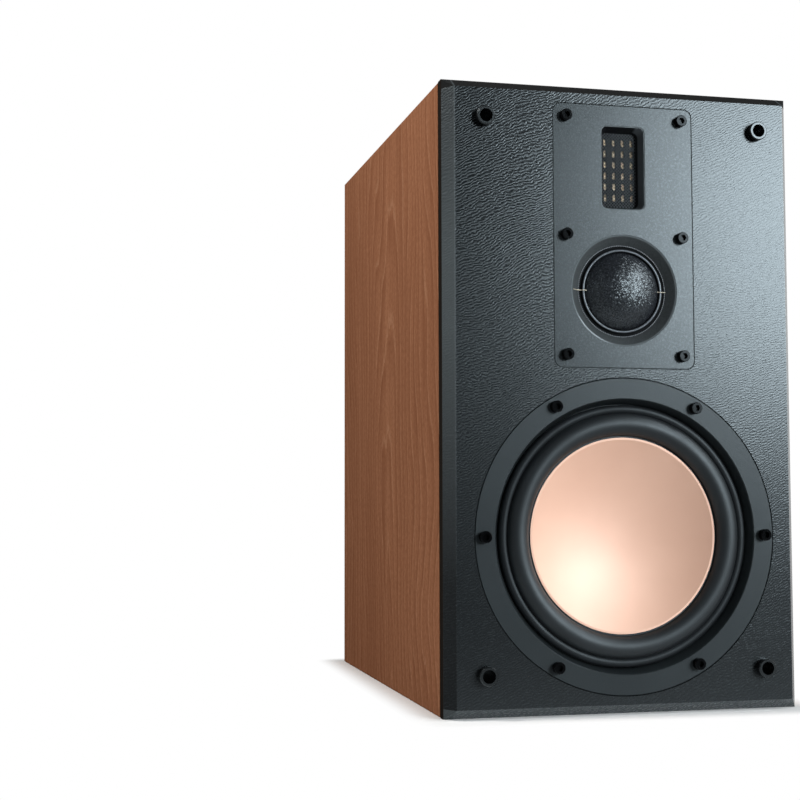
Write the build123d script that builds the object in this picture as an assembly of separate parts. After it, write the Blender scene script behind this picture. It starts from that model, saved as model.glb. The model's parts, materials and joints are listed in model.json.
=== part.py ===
from build123d import *
import math
import os

# Three-way bookshelf speaker, in millimetres. The origin is at the centre of the base,
# the front faces -Y, +X is to the right seen from the front, and +Z is up.
# A "depth" is a distance behind the front face of the baffle.

# Cabinet
CABINET_DEPTH = 366.0
WALL = 18.0
EDGE_ROUND = 1.0
SIDE_MARGIN = 20.0
BOTTOM_MARGIN = 13.0
TOP_MARGIN = 14.3
PLATE_GAP = 6.7
BAFFLE_THICKNESS = 19.0
CHAMFER_FACE = 7.0
CHAMFER_DEPTH = 10.5
SKIN = 0.8
SEAM_GROOVE = 1.2
SEAM_INSET = 1.6
BRACE_THICKNESS = 12.0
BRACE_BORDER = 30.0
WOOL_THICKNESS = 20.0
WOOL_SPACE = 2.0
FIT_GAP = 0.3

# Grille sockets
SOCKET_INSET_X = 28.2
SOCKET_INSET_BOTTOM = 29.6
SOCKET_INSET_TOP = 27.6
SOCKET_RADIUS = 6.6
SOCKET_BARREL = 5.6
SOCKET_BORE = 4.6
SOCKET_PROUD = 5.5
SOCKET_LENGTH = 11.0
SOCKET_FLOOR = 1.4

# Cap screws and the threaded inserts that hold them
SCREW_HEAD_RADIUS = 4.1
SCREW_HEAD_HEIGHT = 4.6
SCREW_HEX = 4.0
SCREW_HEX_DEPTH = 2.6
SCREW_SHANK = 2.5
SCREW_LENGTH = 16.0
SCREW_EDGE = 0.5
HOLE_GAP = 0.25
INSERT_RADIUS = 3.4
THREAD_GAP = 0.1

# Woofer frame
FLANGE_RADIUS = 110.0
FLANGE_WIDTH = 14.8
FLANGE_OVERLAP = 13.0
FLANGE_THICKNESS = 5.0
FLANGE_EDGE = 0.6
GASKET = 1.0
FLANGE_SCREW_INSET = 7.0
WOOFER_SCREWS = 6
SEAT_SLOPE = 3.4
SEAT_WIDTH = 8.3
SEAT_DEPTH = 9.5
FRAME_WALL = 3.5
SPIDER_SEAT_RADIUS = 70.5
SPIDER_SEAT_DEPTH = 46.0
SPIDER_SEAT_INNER = 62.5
FRAME_BACK_DEPTH = 66.0
FRAME_BACK_THICKNESS = 4.0
WINDOW_ARC = 40.0
WINDOW_MARGIN = 5.0

# Woofer moving parts
CONE_RIM = 1.4
CONE_RIM_DEPTH = 6.9
CONE_SAG = 17.0
CONE_THICKNESS = 0.6
BEAD_WIDTH = 6.3
ROLL_WIDTH = 15.9
ROLL_GAP = 1.2
ROLL_CREST_DEPTH = 0.3
VALLEY_DEPTH = 5.8
BEAD_CREST_DEPTH = 4.5
RUBBER = 1.2
FORMER_RADIUS = 25.0
FORMER_WALL = 0.3
COIL_THICKNESS = 1.0
COIL_HEIGHT = 16.0
SPIDER_THICKNESS = 0.8
SPIDER_WAVE = 1.8
SPIDER_WAVES = 5
SPIDER_COLLAR = 3.0
GLUE_GAP = 0.05

# Woofer motor
TOP_PLATE_RADIUS = 61.0
TOP_PLATE_THICKNESS = 6.0
COIL_CLEARANCE = 0.7
MAGNET_RADIUS = 64.0
MAGNET_BORE = 34.0
MAGNET_THICKNESS = 20.0
YOKE_RADIUS = 60.0
YOKE_THICKNESS = 7.0
POLE_CLEARANCE = 0.6
POLE_PROUD = 2.0
POLE_VENT = 9.0

# Plate that carries the dome and the planar tweeter
PLATE_WIDTH = 104.0
PLATE_HEIGHT = 186.0
PLATE_THICKNESS = 5.0
PLATE_CORNER = 6.0
PLATE_EDGE = 0.5
PLATE_SCREW_INSET = 9.1

# Dome midrange
DRIVER_GAP_SHARE = 0.305
RECESS_FLARE = 7.3
RECESS_BOSS = 1.0
MID_BODY_RADIUS = 44.0
DOME_RADIUS = 27.5
DOME_HEIGHT = 12.5
DOME_THICKNESS = 0.5
DOME_SKIRT = 2.5
MID_ROLL_WIDTH = 2.6
MID_ROLL_RISE = 1.7
MID_ROLL_SPACE = 2.1
MID_CLOTH = 0.5
MID_CLAMP = 5.5
MID_RING_THICKNESS = 3.0
MID_TOP_PLATE_THICKNESS = 5.0
MID_COIL_THICKNESS = 0.6
MID_COIL_HEIGHT = 6.0
MID_GAP = 0.6
MID_MAGNET_THICKNESS = 12.0
MID_MAGNET_WIDTH = 11.0
MID_YOKE_THICKNESS = 5.0
MID_YOKE_VENT = 8.0
CHAMBER_RADIUS = 40.0
CHAMBER_LENGTH = 28.0
CHAMBER_WALL = 2.0

# Planar tweeter
WINDOW_WIDTH = 32.0
WINDOW_HEIGHT = 58.8
WINDOW_CORNER = 4.0
WINDOW_TAPER = 2.8
WINDOW_BOSS = 4.0
TWEETER_BORDER = 4.0
MESH_THICKNESS = 0.4
MESH_PITCH = 2.6
MESH_HOLE = 2.0
FRONT_PLATE = 0.8
REAR_PLATE = 2.0
SLOT_WIDTH = 2.3
SLOT_LENGTH = 5.0
SLOT_PITCH_X = 6.65
SLOT_PITCH_Z = 7.9
SLOT_COLUMNS = 4
SLOT_ROWS = 6
BAR_WIDTH = 3.4
BAR_THICKNESS = 3.0
FILM_GAP = 0.5
FILM_THICKNESS = 0.1
TRACE_THICKNESS = 0.1
TRACE_WIDTH = 1.1
SPACER_BORDER = 3.0
COVER_DEPTH = 14.0
COVER_WALL = 2.0

# Connection tags of the three drivers
TAG_WIDTH = 4.8
TAG_THICKNESS = 0.8
TAG_LENGTH = 12.0
TAG_SPACING = 10.0
TAG_STRIP = 2.0
TAG_STRIP_WIDTH = 22.0
TAG_STRIP_HEIGHT = 10.0

# Terminal cup and binding posts
CUP_Z = 100.0
CUP_WIDTH = 94.0
CUP_HEIGHT = 64.0
CUP_CORNER = 8.0
CUP_WALL = 3.0
CUP_WELL = 22.0
CUP_FLANGE = 11.0
CUP_LIP = 3.0
CUP_SCREW_INSET = 6.5
WOOD_SCREW_HEAD = 3.5
WOOD_SCREW_HEAD_HEIGHT = 2.2
WOOD_SCREW_SHANK = 1.7
WOOD_SCREW_LENGTH = 14.0
POST_SPACING = 32.0
STUD_RADIUS = 3.0
PLUG_BORE = 2.0
PLUG_DEPTH = 12.0
STUD_TAIL = 9.0
BUSH_RADIUS = 8.0
BUSH_THICKNESS = 3.8
BUSH_SPIGOT = 4.5
WASHER_RADIUS = 6.2
WASHER_THICKNESS = 1.1
WASHER_GAP = 0.1
CAP_RADIUS = 7.0
CAP_LENGTH = 13.0
CAP_END = 2.0
CAP_PLUG_HOLE = 2.6
CAP_FLUTES = 12
CAP_FLUTE_RADIUS = 1.0
CAP_EDGE = 0.8
NUT_FLATS = 10.0
NUT_THICKNESS = 4.0
POST_GAP = 0.3

# Reflex port
PORT_DROP = 118.0
PORT_RADIUS = 30.0
PORT_WALL = 3.0
PORT_LENGTH = 140.0
PORT_FLARE = 13.0
PORT_FLARE_LENGTH = 19.0
PORT_FLANGE = 8.0
PORT_LIP = 3.0

# Crossover board
BOARD_WIDTH = 160.0
BOARD_THICKNESS = 1.6
BOARD_BACK_SPACE = 28.0
SUPPORT_HEIGHT = 8.0
SUPPORT_RADIUS = 4.0
SUPPORT_INSET = 8.0
SUPPORT_NECK = 1.5
SUPPORT_CAP = 2.0
COIL_SIZES = ((21.0, 22.0), (17.0, 18.0), (13.0, 16.0))
CAPACITOR_SIZES = ((9.0, 38.0), (8.0, 34.0), (6.5, 30.0), (5.0, 24.0))
RESISTOR_LENGTH = 36.0
RESISTOR_SIDE = 9.0
RESISTOR_COUNT = 3
PART_SPACE = 5.0
WIRE_RADIUS = 1.3
WIRE_LANDING = 12.0
WIRE_BEND = 25.0

# Sizes worked out from the ones above
WIDTH = 2 * (FLANGE_RADIUS + SIDE_MARGIN)
WOOFER_Z = BOTTOM_MARGIN + FLANGE_RADIUS
PLATE_BOTTOM = WOOFER_Z + FLANGE_RADIUS + PLATE_GAP
PLATE_TOP = PLATE_BOTTOM + PLATE_HEIGHT
PLATE_Z = (PLATE_BOTTOM + PLATE_TOP) / 2
HEIGHT = PLATE_TOP + TOP_MARGIN
STACK_WIDTH = WINDOW_WIDTH + 2 * TWEETER_BORDER
STACK_HEIGHT = WINDOW_HEIGHT + 2 * TWEETER_BORDER
PLATE_FREE = PLATE_HEIGHT - 2 * MID_BODY_RADIUS - STACK_HEIGHT
DRIVER_MARGIN = PLATE_FREE * (1 - DRIVER_GAP_SHARE) / 2
MID_Z = PLATE_BOTTOM + DRIVER_MARGIN + MID_BODY_RADIUS
TWEETER_Z = PLATE_TOP - DRIVER_MARGIN - STACK_HEIGHT / 2
FRONT = -CABINET_DEPTH / 2
INNER_WIDTH = WIDTH - 2 * WALL
INNER_HEIGHT = HEIGHT - 2 * WALL
PANEL_DEPTH = CABINET_DEPTH - WALL
INNER_MID_Z = HEIGHT / 2
REBATE = FLANGE_THICKNESS + GASKET
POCKET = PLATE_THICKNESS + GASKET
SCREW_CIRCLE = FLANGE_RADIUS - FLANGE_SCREW_INSET
MOUTH_RADIUS = FLANGE_RADIUS - FLANGE_WIDTH
TUB_RADIUS = FLANGE_RADIUS - FLANGE_OVERLAP
SEAT_RADIUS = MOUTH_RADIUS - SEAT_SLOPE
SEAT_INNER = SEAT_RADIUS - SEAT_WIDTH
CUTOUT_RADIUS = TUB_RADIUS + 2 * HOLE_GAP
BRACE_Z = (WOOFER_Z + CUTOUT_RADIUS + MID_Z - MID_BODY_RADIUS) / 2
SOCKET_X = WIDTH / 2 - SOCKET_INSET_X
SOCKET_Z = (SOCKET_INSET_BOTTOM, HEIGHT - SOCKET_INSET_TOP)
ROLL_OUTER = SEAT_RADIUS - BEAD_WIDTH
ROLL_INNER = ROLL_OUTER - ROLL_WIDTH
CONE_RADIUS = ROLL_INNER - ROLL_GAP
DISH_RADIUS = CONE_RADIUS - CONE_RIM
DISH_SPHERE = (DISH_RADIUS**2 + CONE_SAG**2) / (2 * CONE_SAG)
DISH_CENTRE = CONE_RIM_DEPTH + CONE_SAG - DISH_SPHERE
FORMER_OUTER = FORMER_RADIUS + FORMER_WALL
COIL_OUTER = FORMER_OUTER + COIL_THICKNESS
MAGNET_DEPTH = FRAME_BACK_DEPTH + TOP_PLATE_THICKNESS
YOKE_DEPTH = MAGNET_DEPTH + MAGNET_THICKNESS
COIL_MIDDLE = FRAME_BACK_DEPTH + TOP_PLATE_THICKNESS / 2
LOWER_TUB = SPIDER_SEAT_INNER + FRAME_WALL
RECESS_DEPTH = PLATE_THICKNESS + RECESS_BOSS
MID_RING_DEPTH = RECESS_DEPTH + MID_CLOTH
MID_PLATE_DEPTH = MID_RING_DEPTH + MID_RING_THICKNESS
MID_MAGNET_DEPTH = MID_PLATE_DEPTH + MID_TOP_PLATE_THICKNESS
MID_YOKE_DEPTH = MID_MAGNET_DEPTH + MID_MAGNET_THICKNESS
MID_BACK_DEPTH = MID_YOKE_DEPTH + MID_YOKE_THICKNESS
CHAMBER_DEPTH = MID_BACK_DEPTH + CHAMBER_LENGTH
MID_SKIRT_INNER = DOME_RADIUS - DOME_THICKNESS
MID_COIL_OUTER = MID_SKIRT_INNER + MID_COIL_THICKNESS
MID_ROLL_OUTER = DOME_RADIUS + MID_ROLL_WIDTH
RECESS_THROAT = MID_ROLL_OUTER + MID_ROLL_SPACE
RECESS_RADIUS = RECESS_THROAT + RECESS_FLARE
MESH_WIDTH = WINDOW_WIDTH - 2 * WINDOW_TAPER
MESH_HEIGHT = WINDOW_HEIGHT - 2 * WINDOW_TAPER
WINDOW_DEPTH = PLATE_THICKNESS + WINDOW_BOSS
SLOTTED_DEPTH = WINDOW_DEPTH + MESH_THICKNESS
SPACER_DEPTH = SLOTTED_DEPTH + FRONT_PLATE
FILM_DEPTH = SPACER_DEPTH + FILM_GAP
REAR_SPACER_DEPTH = FILM_DEPTH + FILM_THICKNESS
REAR_SPACER = TRACE_THICKNESS + FILM_GAP + BAR_THICKNESS
REAR_SLOTTED_DEPTH = REAR_SPACER_DEPTH + REAR_SPACER
COVER_START = REAR_SLOTTED_DEPTH + REAR_PLATE
COVER_BACK = COVER_START + COVER_DEPTH
PORT_Z = HEIGHT - PORT_DROP
CUP_FLOOR = CABINET_DEPTH - CUP_WELL
POST_X = (-POST_SPACING / 2, POST_SPACING / 2)
WASHER_DEPTH = CUP_FLOOR + BUSH_THICKNESS
WASHER_END = WASHER_DEPTH + WASHER_THICKNESS
CAP_DEPTH = WASHER_END + WASHER_GAP
STUD_END = CAP_DEPTH + CAP_LENGTH - CAP_END - POST_GAP
STUD_TAIL_DEPTH = CUP_FLOOR - CUP_WALL - STUD_TAIL
COIL_ROW = 2 * sum(radius for radius, height in COIL_SIZES)
BOARD_LENGTH = COIL_ROW + (len(COIL_SIZES) + 1) * PART_SPACE
BOARD_BACK = PANEL_DEPTH - BOARD_BACK_SPACE
BOARD_FRONT = BOARD_BACK - BOARD_LENGTH
BOARD_Z = WALL + SUPPORT_HEIGHT
BOARD_TOP = BOARD_Z + BOARD_THICKNESS


def turned(*points):
    """Solid of revolution about the Y axis through (radius, depth) points."""
    return revolve(make_face(Polyline(*points, close=True)), Axis.Y)


def turned_lines(*lines):
    """Solid of revolution about the Y axis inside a closed run of lines and arcs."""
    return revolve(make_face(Curve() + list(lines)), Axis.Y)


def ring(inner, outer, near, far):
    """Plain ring about the Y axis between two depths."""
    return turned((inner, near), (outer, near), (outer, far), (inner, far))


def rod(radius, near, far):
    """Plain cylinder along the Y axis between two depths."""
    return turned((0, near), (radius, near), (radius, far), (0, far))


def facing(far):
    """Plane whose outlines are drawn as seen from the front, at a depth."""
    return Plane((0, far, 0), x_dir=(1, 0, 0), z_dir=(0, -1, 0))


def slab(outline, near, far):
    """Outline as seen from the front, filled from one depth to a deeper one."""
    return extrude(facing(far) * outline, far - near)


def at(shape, x, z):
    """Shape moved from the Y axis, with depth 0 on the front face."""
    return Pos(x, FRONT, z) * shape


def around(shape, radius, count):
    """Copies of a shape, evenly spaced on a circle seen from the front."""
    step = 360 / count
    return [Rot(0, k * step, 0) * Pos(radius, 0, 0) * shape for k in range(count)]


def plate_screw_places():
    """Places of the plate's screws from the middle of the plate."""
    x = PLATE_WIDTH / 2 - PLATE_SCREW_INSET
    z = PLATE_HEIGHT / 2 - PLATE_SCREW_INSET
    return [(side * x, level * z) for side in (-1, 1) for level in (-1, 0, 1)]


def at_plate_screws(shape):
    return [at(shape, x, PLATE_Z + z) for x, z in plate_screw_places()]


def at_woofer_screws(shape):
    return [at(s, 0, WOOFER_Z) for s in around(shape, SCREW_CIRCLE, WOOFER_SCREWS)]


def socket_places():
    return [(side * SOCKET_X, z) for side in (-1, 1) for z in SOCKET_Z]


def panel(corners):
    """One mitred board of the wooden wrap: corners are (x, z) of its wedge."""
    wrap = slab(RectangleRounded(WIDTH, HEIGHT, EDGE_ROUND), BAFFLE_THICKNESS, CABINET_DEPTH)
    wedge = slab(make_face(Polyline(*corners, close=True)), BAFFLE_THICKNESS, CABINET_DEPTH)
    return at(wrap, 0, HEIGHT / 2) & at(wedge, 0, 0)


def side_panel(side):
    outer = side * WIDTH / 2
    inner = side * INNER_WIDTH / 2
    corners = ((outer, 0), (inner, WALL), (inner, HEIGHT - WALL), (outer, HEIGHT))
    return panel(corners)


def level_panel(outer, inner):
    half = WIDTH / 2
    corners = ((-half, outer), (WALL - half, inner), (half - WALL, inner), (half, outer))
    return panel(corners)


def rear_panel():
    """Board let into the wrap, with the port's hole and the terminal cup's opening."""
    start = CABINET_DEPTH - WALL
    board = slab(Rectangle(INNER_WIDTH, INNER_HEIGHT), start, CABINET_DEPTH)
    board = at(board, 0, INNER_MID_Z)
    port = rod(PORT_RADIUS + PORT_FLARE + PORT_WALL + FIT_GAP, start, CABINET_DEPTH)
    cup = RectangleRounded(CUP_WIDTH + 2 * FIT_GAP, CUP_HEIGHT + 2 * FIT_GAP, CUP_CORNER)
    board -= at(port, 0, PORT_Z)
    board -= at(slab(cup, start, CABINET_DEPTH), 0, CUP_Z)
    pilot = rod(
        WOOD_SCREW_SHANK + THREAD_GAP,
        CABINET_DEPTH + CUP_LIP - WOOD_SCREW_LENGTH - FIT_GAP,
        CABINET_DEPTH,
    )
    for x, z in cup_screw_places():
        board -= at(pilot, x, CUP_Z + z)
    return board


def baffle_blank(inset):
    """Chamfered board, drawn in from the outside by an inset."""
    wide = Rectangle(WIDTH - 2 * inset, HEIGHT - 2 * inset)
    trim = 2 * (CHAMFER_FACE + inset)
    narrow = Rectangle(WIDTH - trim, HEIGHT - trim)
    shoulder = CHAMFER_DEPTH + inset
    nose = loft([facing(inset) * narrow, facing(shoulder) * wide], ruled=True)
    board = nose + slab(wide, shoulder, BAFFLE_THICKNESS - SEAM_GROOVE)
    return at(board, 0, HEIGHT / 2)


def baffle_cuts():
    """Everything that is cut out of the baffle and its covering."""
    past = SKIN
    woofer = rod(FLANGE_RADIUS + FIT_GAP, -past, REBATE)
    woofer += rod(CUTOUT_RADIUS, REBATE, BAFFLE_THICKNESS + past)
    pocket = RectangleRounded(
        PLATE_WIDTH + 2 * FIT_GAP, PLATE_HEIGHT + 2 * FIT_GAP, PLATE_CORNER + FIT_GAP
    )
    socket = rod(SOCKET_BARREL + THREAD_GAP, -past, SOCKET_LENGTH + FIT_GAP)
    insert = rod(INSERT_RADIUS + THREAD_GAP, 0, SCREW_LENGTH + FIT_GAP)
    cuts = [at(woofer, 0, WOOFER_Z), at(slab(pocket, -past, POCKET), 0, PLATE_Z)]
    cuts += driver_openings(POCKET, BAFFLE_THICKNESS + past)
    cuts += [at(socket, x, z) for x, z in socket_places()]
    cuts += at_woofer_screws(insert)
    cuts += at_plate_screws(insert)
    return cuts


def driver_openings(near, far):
    """Round and square openings behind the plate for the dome and the tweeter."""
    square = Rectangle(STACK_WIDTH + 4 * FIT_GAP, STACK_HEIGHT + 4 * FIT_GAP)
    return [
        at(rod(MID_BODY_RADIUS + 2 * FIT_GAP, near, far), 0, MID_Z),
        at(slab(square, near, far), 0, TWEETER_Z),
    ]


def front_baffle():
    board = baffle_blank(SKIN)
    back = Rectangle(WIDTH - 2 * SEAM_INSET, HEIGHT - 2 * SEAM_INSET)
    board += at(slab(back, BAFFLE_THICKNESS - SEAM_GROOVE, BAFFLE_THICKNESS), 0, HEIGHT / 2)
    return board - baffle_cuts()


def baffle_skin():
    """Leather-grained covering of the baffle's face, chamfers and sides."""
    return baffle_blank(0) - baffle_blank(SKIN) - baffle_cuts()


def window_brace():
    """Shelf between the side panels, with two windows."""
    length = PANEL_DEPTH - BAFFLE_THICKNESS
    shelf = Box(INNER_WIDTH, length, BRACE_THICKNESS)
    window = Box(
        INNER_WIDTH - 2 * BRACE_BORDER,
        (length - 3 * BRACE_BORDER) / 2,
        BRACE_THICKNESS,
    )
    corners = window.edges().filter_by(Axis.Z)
    window = fillet(corners, BRACE_BORDER / 2)
    step = (length - BRACE_BORDER) / 4
    for y in (-step, step):
        shelf -= Pos(0, y, 0) * window
    middle = FRONT + (BAFFLE_THICKNESS + PANEL_DEPTH) / 2
    return Pos(0, middle, BRACE_Z) * shelf


def damping_wool():
    """Wadding on the side walls, above and below the brace."""
    start = FRAME_BACK_DEPTH - WOOL_THICKNESS
    length = PANEL_DEPTH - WOOL_THICKNESS - start
    x = INNER_WIDTH / 2 - WOOL_THICKNESS / 2
    half = BRACE_THICKNESS / 2
    spans = ((WALL, BRACE_Z - half), (BRACE_Z + half, HEIGHT - WALL))
    sheets = []
    for low, high in spans:
        sheet = Box(WOOL_THICKNESS, length, high - low - 2 * WOOL_SPACE)
        for side in (-1, 1):
            place = Pos(side * x, FRONT + start + length / 2, (low + high) / 2)
            sheets.append(place * sheet)
    return sheets


def grille_sockets():
    """Push-in cups for the pegs of a grille frame."""
    lip = RUBBER / 2
    cup = turned(
        (0, SOCKET_LENGTH),
        (SOCKET_BARREL, SOCKET_LENGTH),
        (SOCKET_BARREL, 0),
        (SOCKET_RADIUS, 0),
        (SOCKET_RADIUS, lip - SOCKET_PROUD),
        (SOCKET_RADIUS - lip, -SOCKET_PROUD),
        (SOCKET_BORE, -SOCKET_PROUD),
        (SOCKET_BORE, SOCKET_LENGTH - SOCKET_FLOOR),
        (0, SOCKET_LENGTH - SOCKET_FLOOR),
    )
    return [at(cup, x, z) for x, z in socket_places()]


def cap_screw():
    """Hex-socket cap screw whose head stands on the front face."""
    head = turned(
        (0, -SCREW_HEAD_HEIGHT),
        (SCREW_HEAD_RADIUS - SCREW_EDGE, -SCREW_HEAD_HEIGHT),
        (SCREW_HEAD_RADIUS, SCREW_EDGE - SCREW_HEAD_HEIGHT),
        (SCREW_HEAD_RADIUS, 0),
        (SCREW_SHANK, 0),
        (SCREW_SHANK, SCREW_LENGTH),
        (0, SCREW_LENGTH),
    )
    key = RegularPolygon(SCREW_HEX / 2, 6, major_radius=False)
    return head - slab(key, -SCREW_HEAD_HEIGHT, SCREW_HEX_DEPTH - SCREW_HEAD_HEIGHT)


def threaded_insert(seat):
    """Barrel in the baffle, from a seat's depth, that the cap screw turns into."""
    return ring(SCREW_SHANK + THREAD_GAP, INSERT_RADIUS, seat, SCREW_LENGTH)


def threaded_inserts():
    return at_woofer_screws(threaded_insert(REBATE)) + at_plate_screws(threaded_insert(POCKET))


def screw_hole(near, far):
    return rod(SCREW_SHANK + HOLE_GAP, near, far)


def woofer_basket():
    """Cast frame: flange, surround seat, spider seat, back ring and windowed wall."""
    seat_back = SEAT_DEPTH + FRAME_WALL
    lower_back = FRAME_BACK_DEPTH - FRAME_BACK_THICKNESS
    frame = turned(
        (MOUTH_RADIUS, FLANGE_EDGE),
        (MOUTH_RADIUS + FLANGE_EDGE, 0),
        (FLANGE_RADIUS - FLANGE_EDGE, 0),
        (FLANGE_RADIUS, FLANGE_EDGE),
        (FLANGE_RADIUS, FLANGE_THICKNESS),
        (TUB_RADIUS, FLANGE_THICKNESS),
        (TUB_RADIUS, seat_back),
        (SPIDER_SEAT_RADIUS + FRAME_WALL, SPIDER_SEAT_DEPTH),
        (SPIDER_SEAT_RADIUS + FRAME_WALL, SPIDER_SEAT_DEPTH + FRAME_WALL),
        (LOWER_TUB, SPIDER_SEAT_DEPTH + FRAME_WALL),
        (LOWER_TUB, FRAME_BACK_DEPTH),
        (COIL_OUTER + FRAME_WALL, FRAME_BACK_DEPTH),
        (COIL_OUTER + FRAME_WALL, lower_back),
        (SPIDER_SEAT_INNER, lower_back),
        (SPIDER_SEAT_INNER, SPIDER_SEAT_DEPTH),
        (SPIDER_SEAT_RADIUS, SPIDER_SEAT_DEPTH),
        (TUB_RADIUS - FRAME_WALL, seat_back),
        (SEAT_INNER, seat_back),
        (SEAT_INNER, SEAT_DEPTH),
        (SEAT_RADIUS, SEAT_DEPTH),
    )
    opening = make_face(
        Polyline(
            (SPIDER_SEAT_INNER, seat_back + WINDOW_MARGIN),
            (FLANGE_RADIUS, seat_back + WINDOW_MARGIN),
            (FLANGE_RADIUS, SPIDER_SEAT_DEPTH - WINDOW_MARGIN),
            (SPIDER_SEAT_INNER, SPIDER_SEAT_DEPTH - WINDOW_MARGIN),
            close=True,
        )
    )
    opening = revolve(opening, Axis.Y, WINDOW_ARC)
    step = 360 / WOOFER_SCREWS
    for k in range(WOOFER_SCREWS):
        frame -= Rot(0, (k + 0.5) * step - WINDOW_ARC / 2, 0) * opening
    holes = around(screw_hole(0, FLANGE_THICKNESS), SCREW_CIRCLE, WOOFER_SCREWS)
    return at(frame - holes, 0, WOOFER_Z)


def woofer_gasket():
    seal = ring(CUTOUT_RADIUS, FLANGE_RADIUS - FIT_GAP, FLANGE_THICKNESS, REBATE)
    holes = around(screw_hole(FLANGE_THICKNESS, REBATE), SCREW_CIRCLE, WOOFER_SCREWS)
    return at(seal - holes, 0, WOOFER_Z)


def dish_depth(radius, behind):
    """Depth of the cone's front or back surface at a radius."""
    return DISH_CENTRE + math.sqrt((DISH_SPHERE + behind) ** 2 - radius**2)


def woofer_cone():
    """One-piece concave metal diaphragm with a flat rim."""
    back = CONE_RIM_DEPTH + CONE_THICKNESS
    edge = math.sqrt((DISH_SPHERE + CONE_THICKNESS) ** 2 - (back - DISH_CENTRE) ** 2)
    half = DISH_RADIUS / 2
    pole = dish_depth(0, 0)
    front_arc = ThreePointArc((DISH_RADIUS, CONE_RIM_DEPTH), (half, dish_depth(half, 0)), (0, pole))
    back_pole = dish_depth(0, CONE_THICKNESS)
    back_arc = ThreePointArc((0, back_pole), (half, dish_depth(half, CONE_THICKNESS)), (edge, back))
    shell = turned_lines(
        Line((CONE_RADIUS, CONE_RIM_DEPTH), (DISH_RADIUS, CONE_RIM_DEPTH)),
        front_arc,
        Line((0, pole), (0, back_pole)),
        back_arc,
        Line((edge, back), (CONE_RADIUS, back)),
        Line((CONE_RADIUS, back), (CONE_RADIUS, CONE_RIM_DEPTH)),
    )
    return at(shell, 0, WOOFER_Z)


def woofer_surround():
    """Rubber half roll between the cone's rim and the seat in the frame."""
    lip = CONE_RIM_DEPTH + CONE_THICKNESS
    middle = (ROLL_INNER + ROLL_OUTER) / 2
    bead_outer = SEAT_RADIUS - FIT_GAP
    bead_middle = (ROLL_OUTER + bead_outer) / 2
    inside = ROLL_INNER + RUBBER
    outside = ROLL_OUTER - RUBBER
    lip_inner = DISH_RADIUS + CONE_RIM / 4
    roll = turned_lines(
        Line((bead_outer, SEAT_DEPTH), (bead_outer, VALLEY_DEPTH + RUBBER)),
        ThreePointArc(
            (bead_outer, VALLEY_DEPTH + RUBBER),
            (bead_middle, BEAD_CREST_DEPTH),
            (ROLL_OUTER, VALLEY_DEPTH),
        ),
        ThreePointArc((ROLL_OUTER, VALLEY_DEPTH), (middle, ROLL_CREST_DEPTH), (ROLL_INNER, lip)),
        Line((ROLL_INNER, lip), (lip_inner, lip)),
        Line((lip_inner, lip), (lip_inner, lip + RUBBER)),
        Line((lip_inner, lip + RUBBER), (inside, lip + RUBBER)),
        ThreePointArc(
            (inside, lip + RUBBER),
            (middle, ROLL_CREST_DEPTH + RUBBER),
            (outside, VALLEY_DEPTH + RUBBER),
        ),
        Line((outside, VALLEY_DEPTH + RUBBER), (outside, SEAT_DEPTH)),
        Line((outside, SEAT_DEPTH), (bead_outer, SEAT_DEPTH)),
    )
    return at(roll, 0, WOOFER_Z)


def woofer_former():
    """Tube that joins the cone to the winding."""
    top = dish_depth(FORMER_RADIUS, CONE_THICKNESS) + GLUE_GAP
    tube = ring(FORMER_RADIUS, FORMER_OUTER, top, COIL_MIDDLE + COIL_HEIGHT / 2)
    return at(tube, 0, WOOFER_Z)


def woofer_voice_coil():
    half = COIL_HEIGHT / 2
    winding = ring(FORMER_OUTER + GLUE_GAP, COIL_OUTER, COIL_MIDDLE - half, COIL_MIDDLE + half)
    return at(winding, 0, WOOFER_Z)


def woofer_spider():
    """Corrugated disc that centres the former."""
    start = FORMER_OUTER + GLUE_GAP
    first = start + SPIDER_COLLAR
    foot = SPIDER_SEAT_RADIUS - FIT_GAP
    last = SPIDER_SEAT_INNER - FIT_GAP
    pitch = (last - first) / (2 * SPIDER_WAVES)
    sheets = []
    for level in (SPIDER_SEAT_DEPTH - SPIDER_THICKNESS, SPIDER_SEAT_DEPTH):
        sheet = [Line((start, level), (first, level))]
        for k in range(2 * SPIDER_WAVES):
            near = first + k * pitch
            lift = SPIDER_WAVE * (1 - 2 * (k % 2))
            crest = (near + pitch / 2, level - lift)
            sheet.append(ThreePointArc((near, level), crest, (near + pitch, level)))
        sheet.append(Line((last, level), (foot, level)))
        sheets.append(sheet)
    front = SPIDER_SEAT_DEPTH - SPIDER_THICKNESS
    ends = [Line((r, front), (r, SPIDER_SEAT_DEPTH)) for r in (start, foot)]
    return at(turned_lines(*sheets[0], *sheets[1], *ends), 0, WOOFER_Z)


def woofer_top_plate():
    bore = COIL_OUTER + COIL_CLEARANCE
    return at(ring(bore, TOP_PLATE_RADIUS, FRAME_BACK_DEPTH, MAGNET_DEPTH), 0, WOOFER_Z)


def woofer_magnet():
    return at(ring(MAGNET_BORE, MAGNET_RADIUS, MAGNET_DEPTH, YOKE_DEPTH), 0, WOOFER_Z)


def woofer_yoke():
    """Back plate with its vented pole."""
    pole = FORMER_RADIUS - POLE_CLEARANCE
    back = YOKE_DEPTH + YOKE_THICKNESS
    body = turned(
        (POLE_VENT, FRAME_BACK_DEPTH - POLE_PROUD),
        (pole, FRAME_BACK_DEPTH - POLE_PROUD),
        (pole, YOKE_DEPTH),
        (YOKE_RADIUS, YOKE_DEPTH),
        (YOKE_RADIUS, back),
        (POLE_VENT + YOKE_THICKNESS, back),
        (POLE_VENT, YOKE_DEPTH),
    )
    return at(body, 0, WOOFER_Z)


def tag_strip_depth():
    """Depth of the middle of the woofer's tag strip."""
    return (SPIDER_SEAT_DEPTH + FRAME_WALL + FRAME_BACK_DEPTH) / 2


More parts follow.
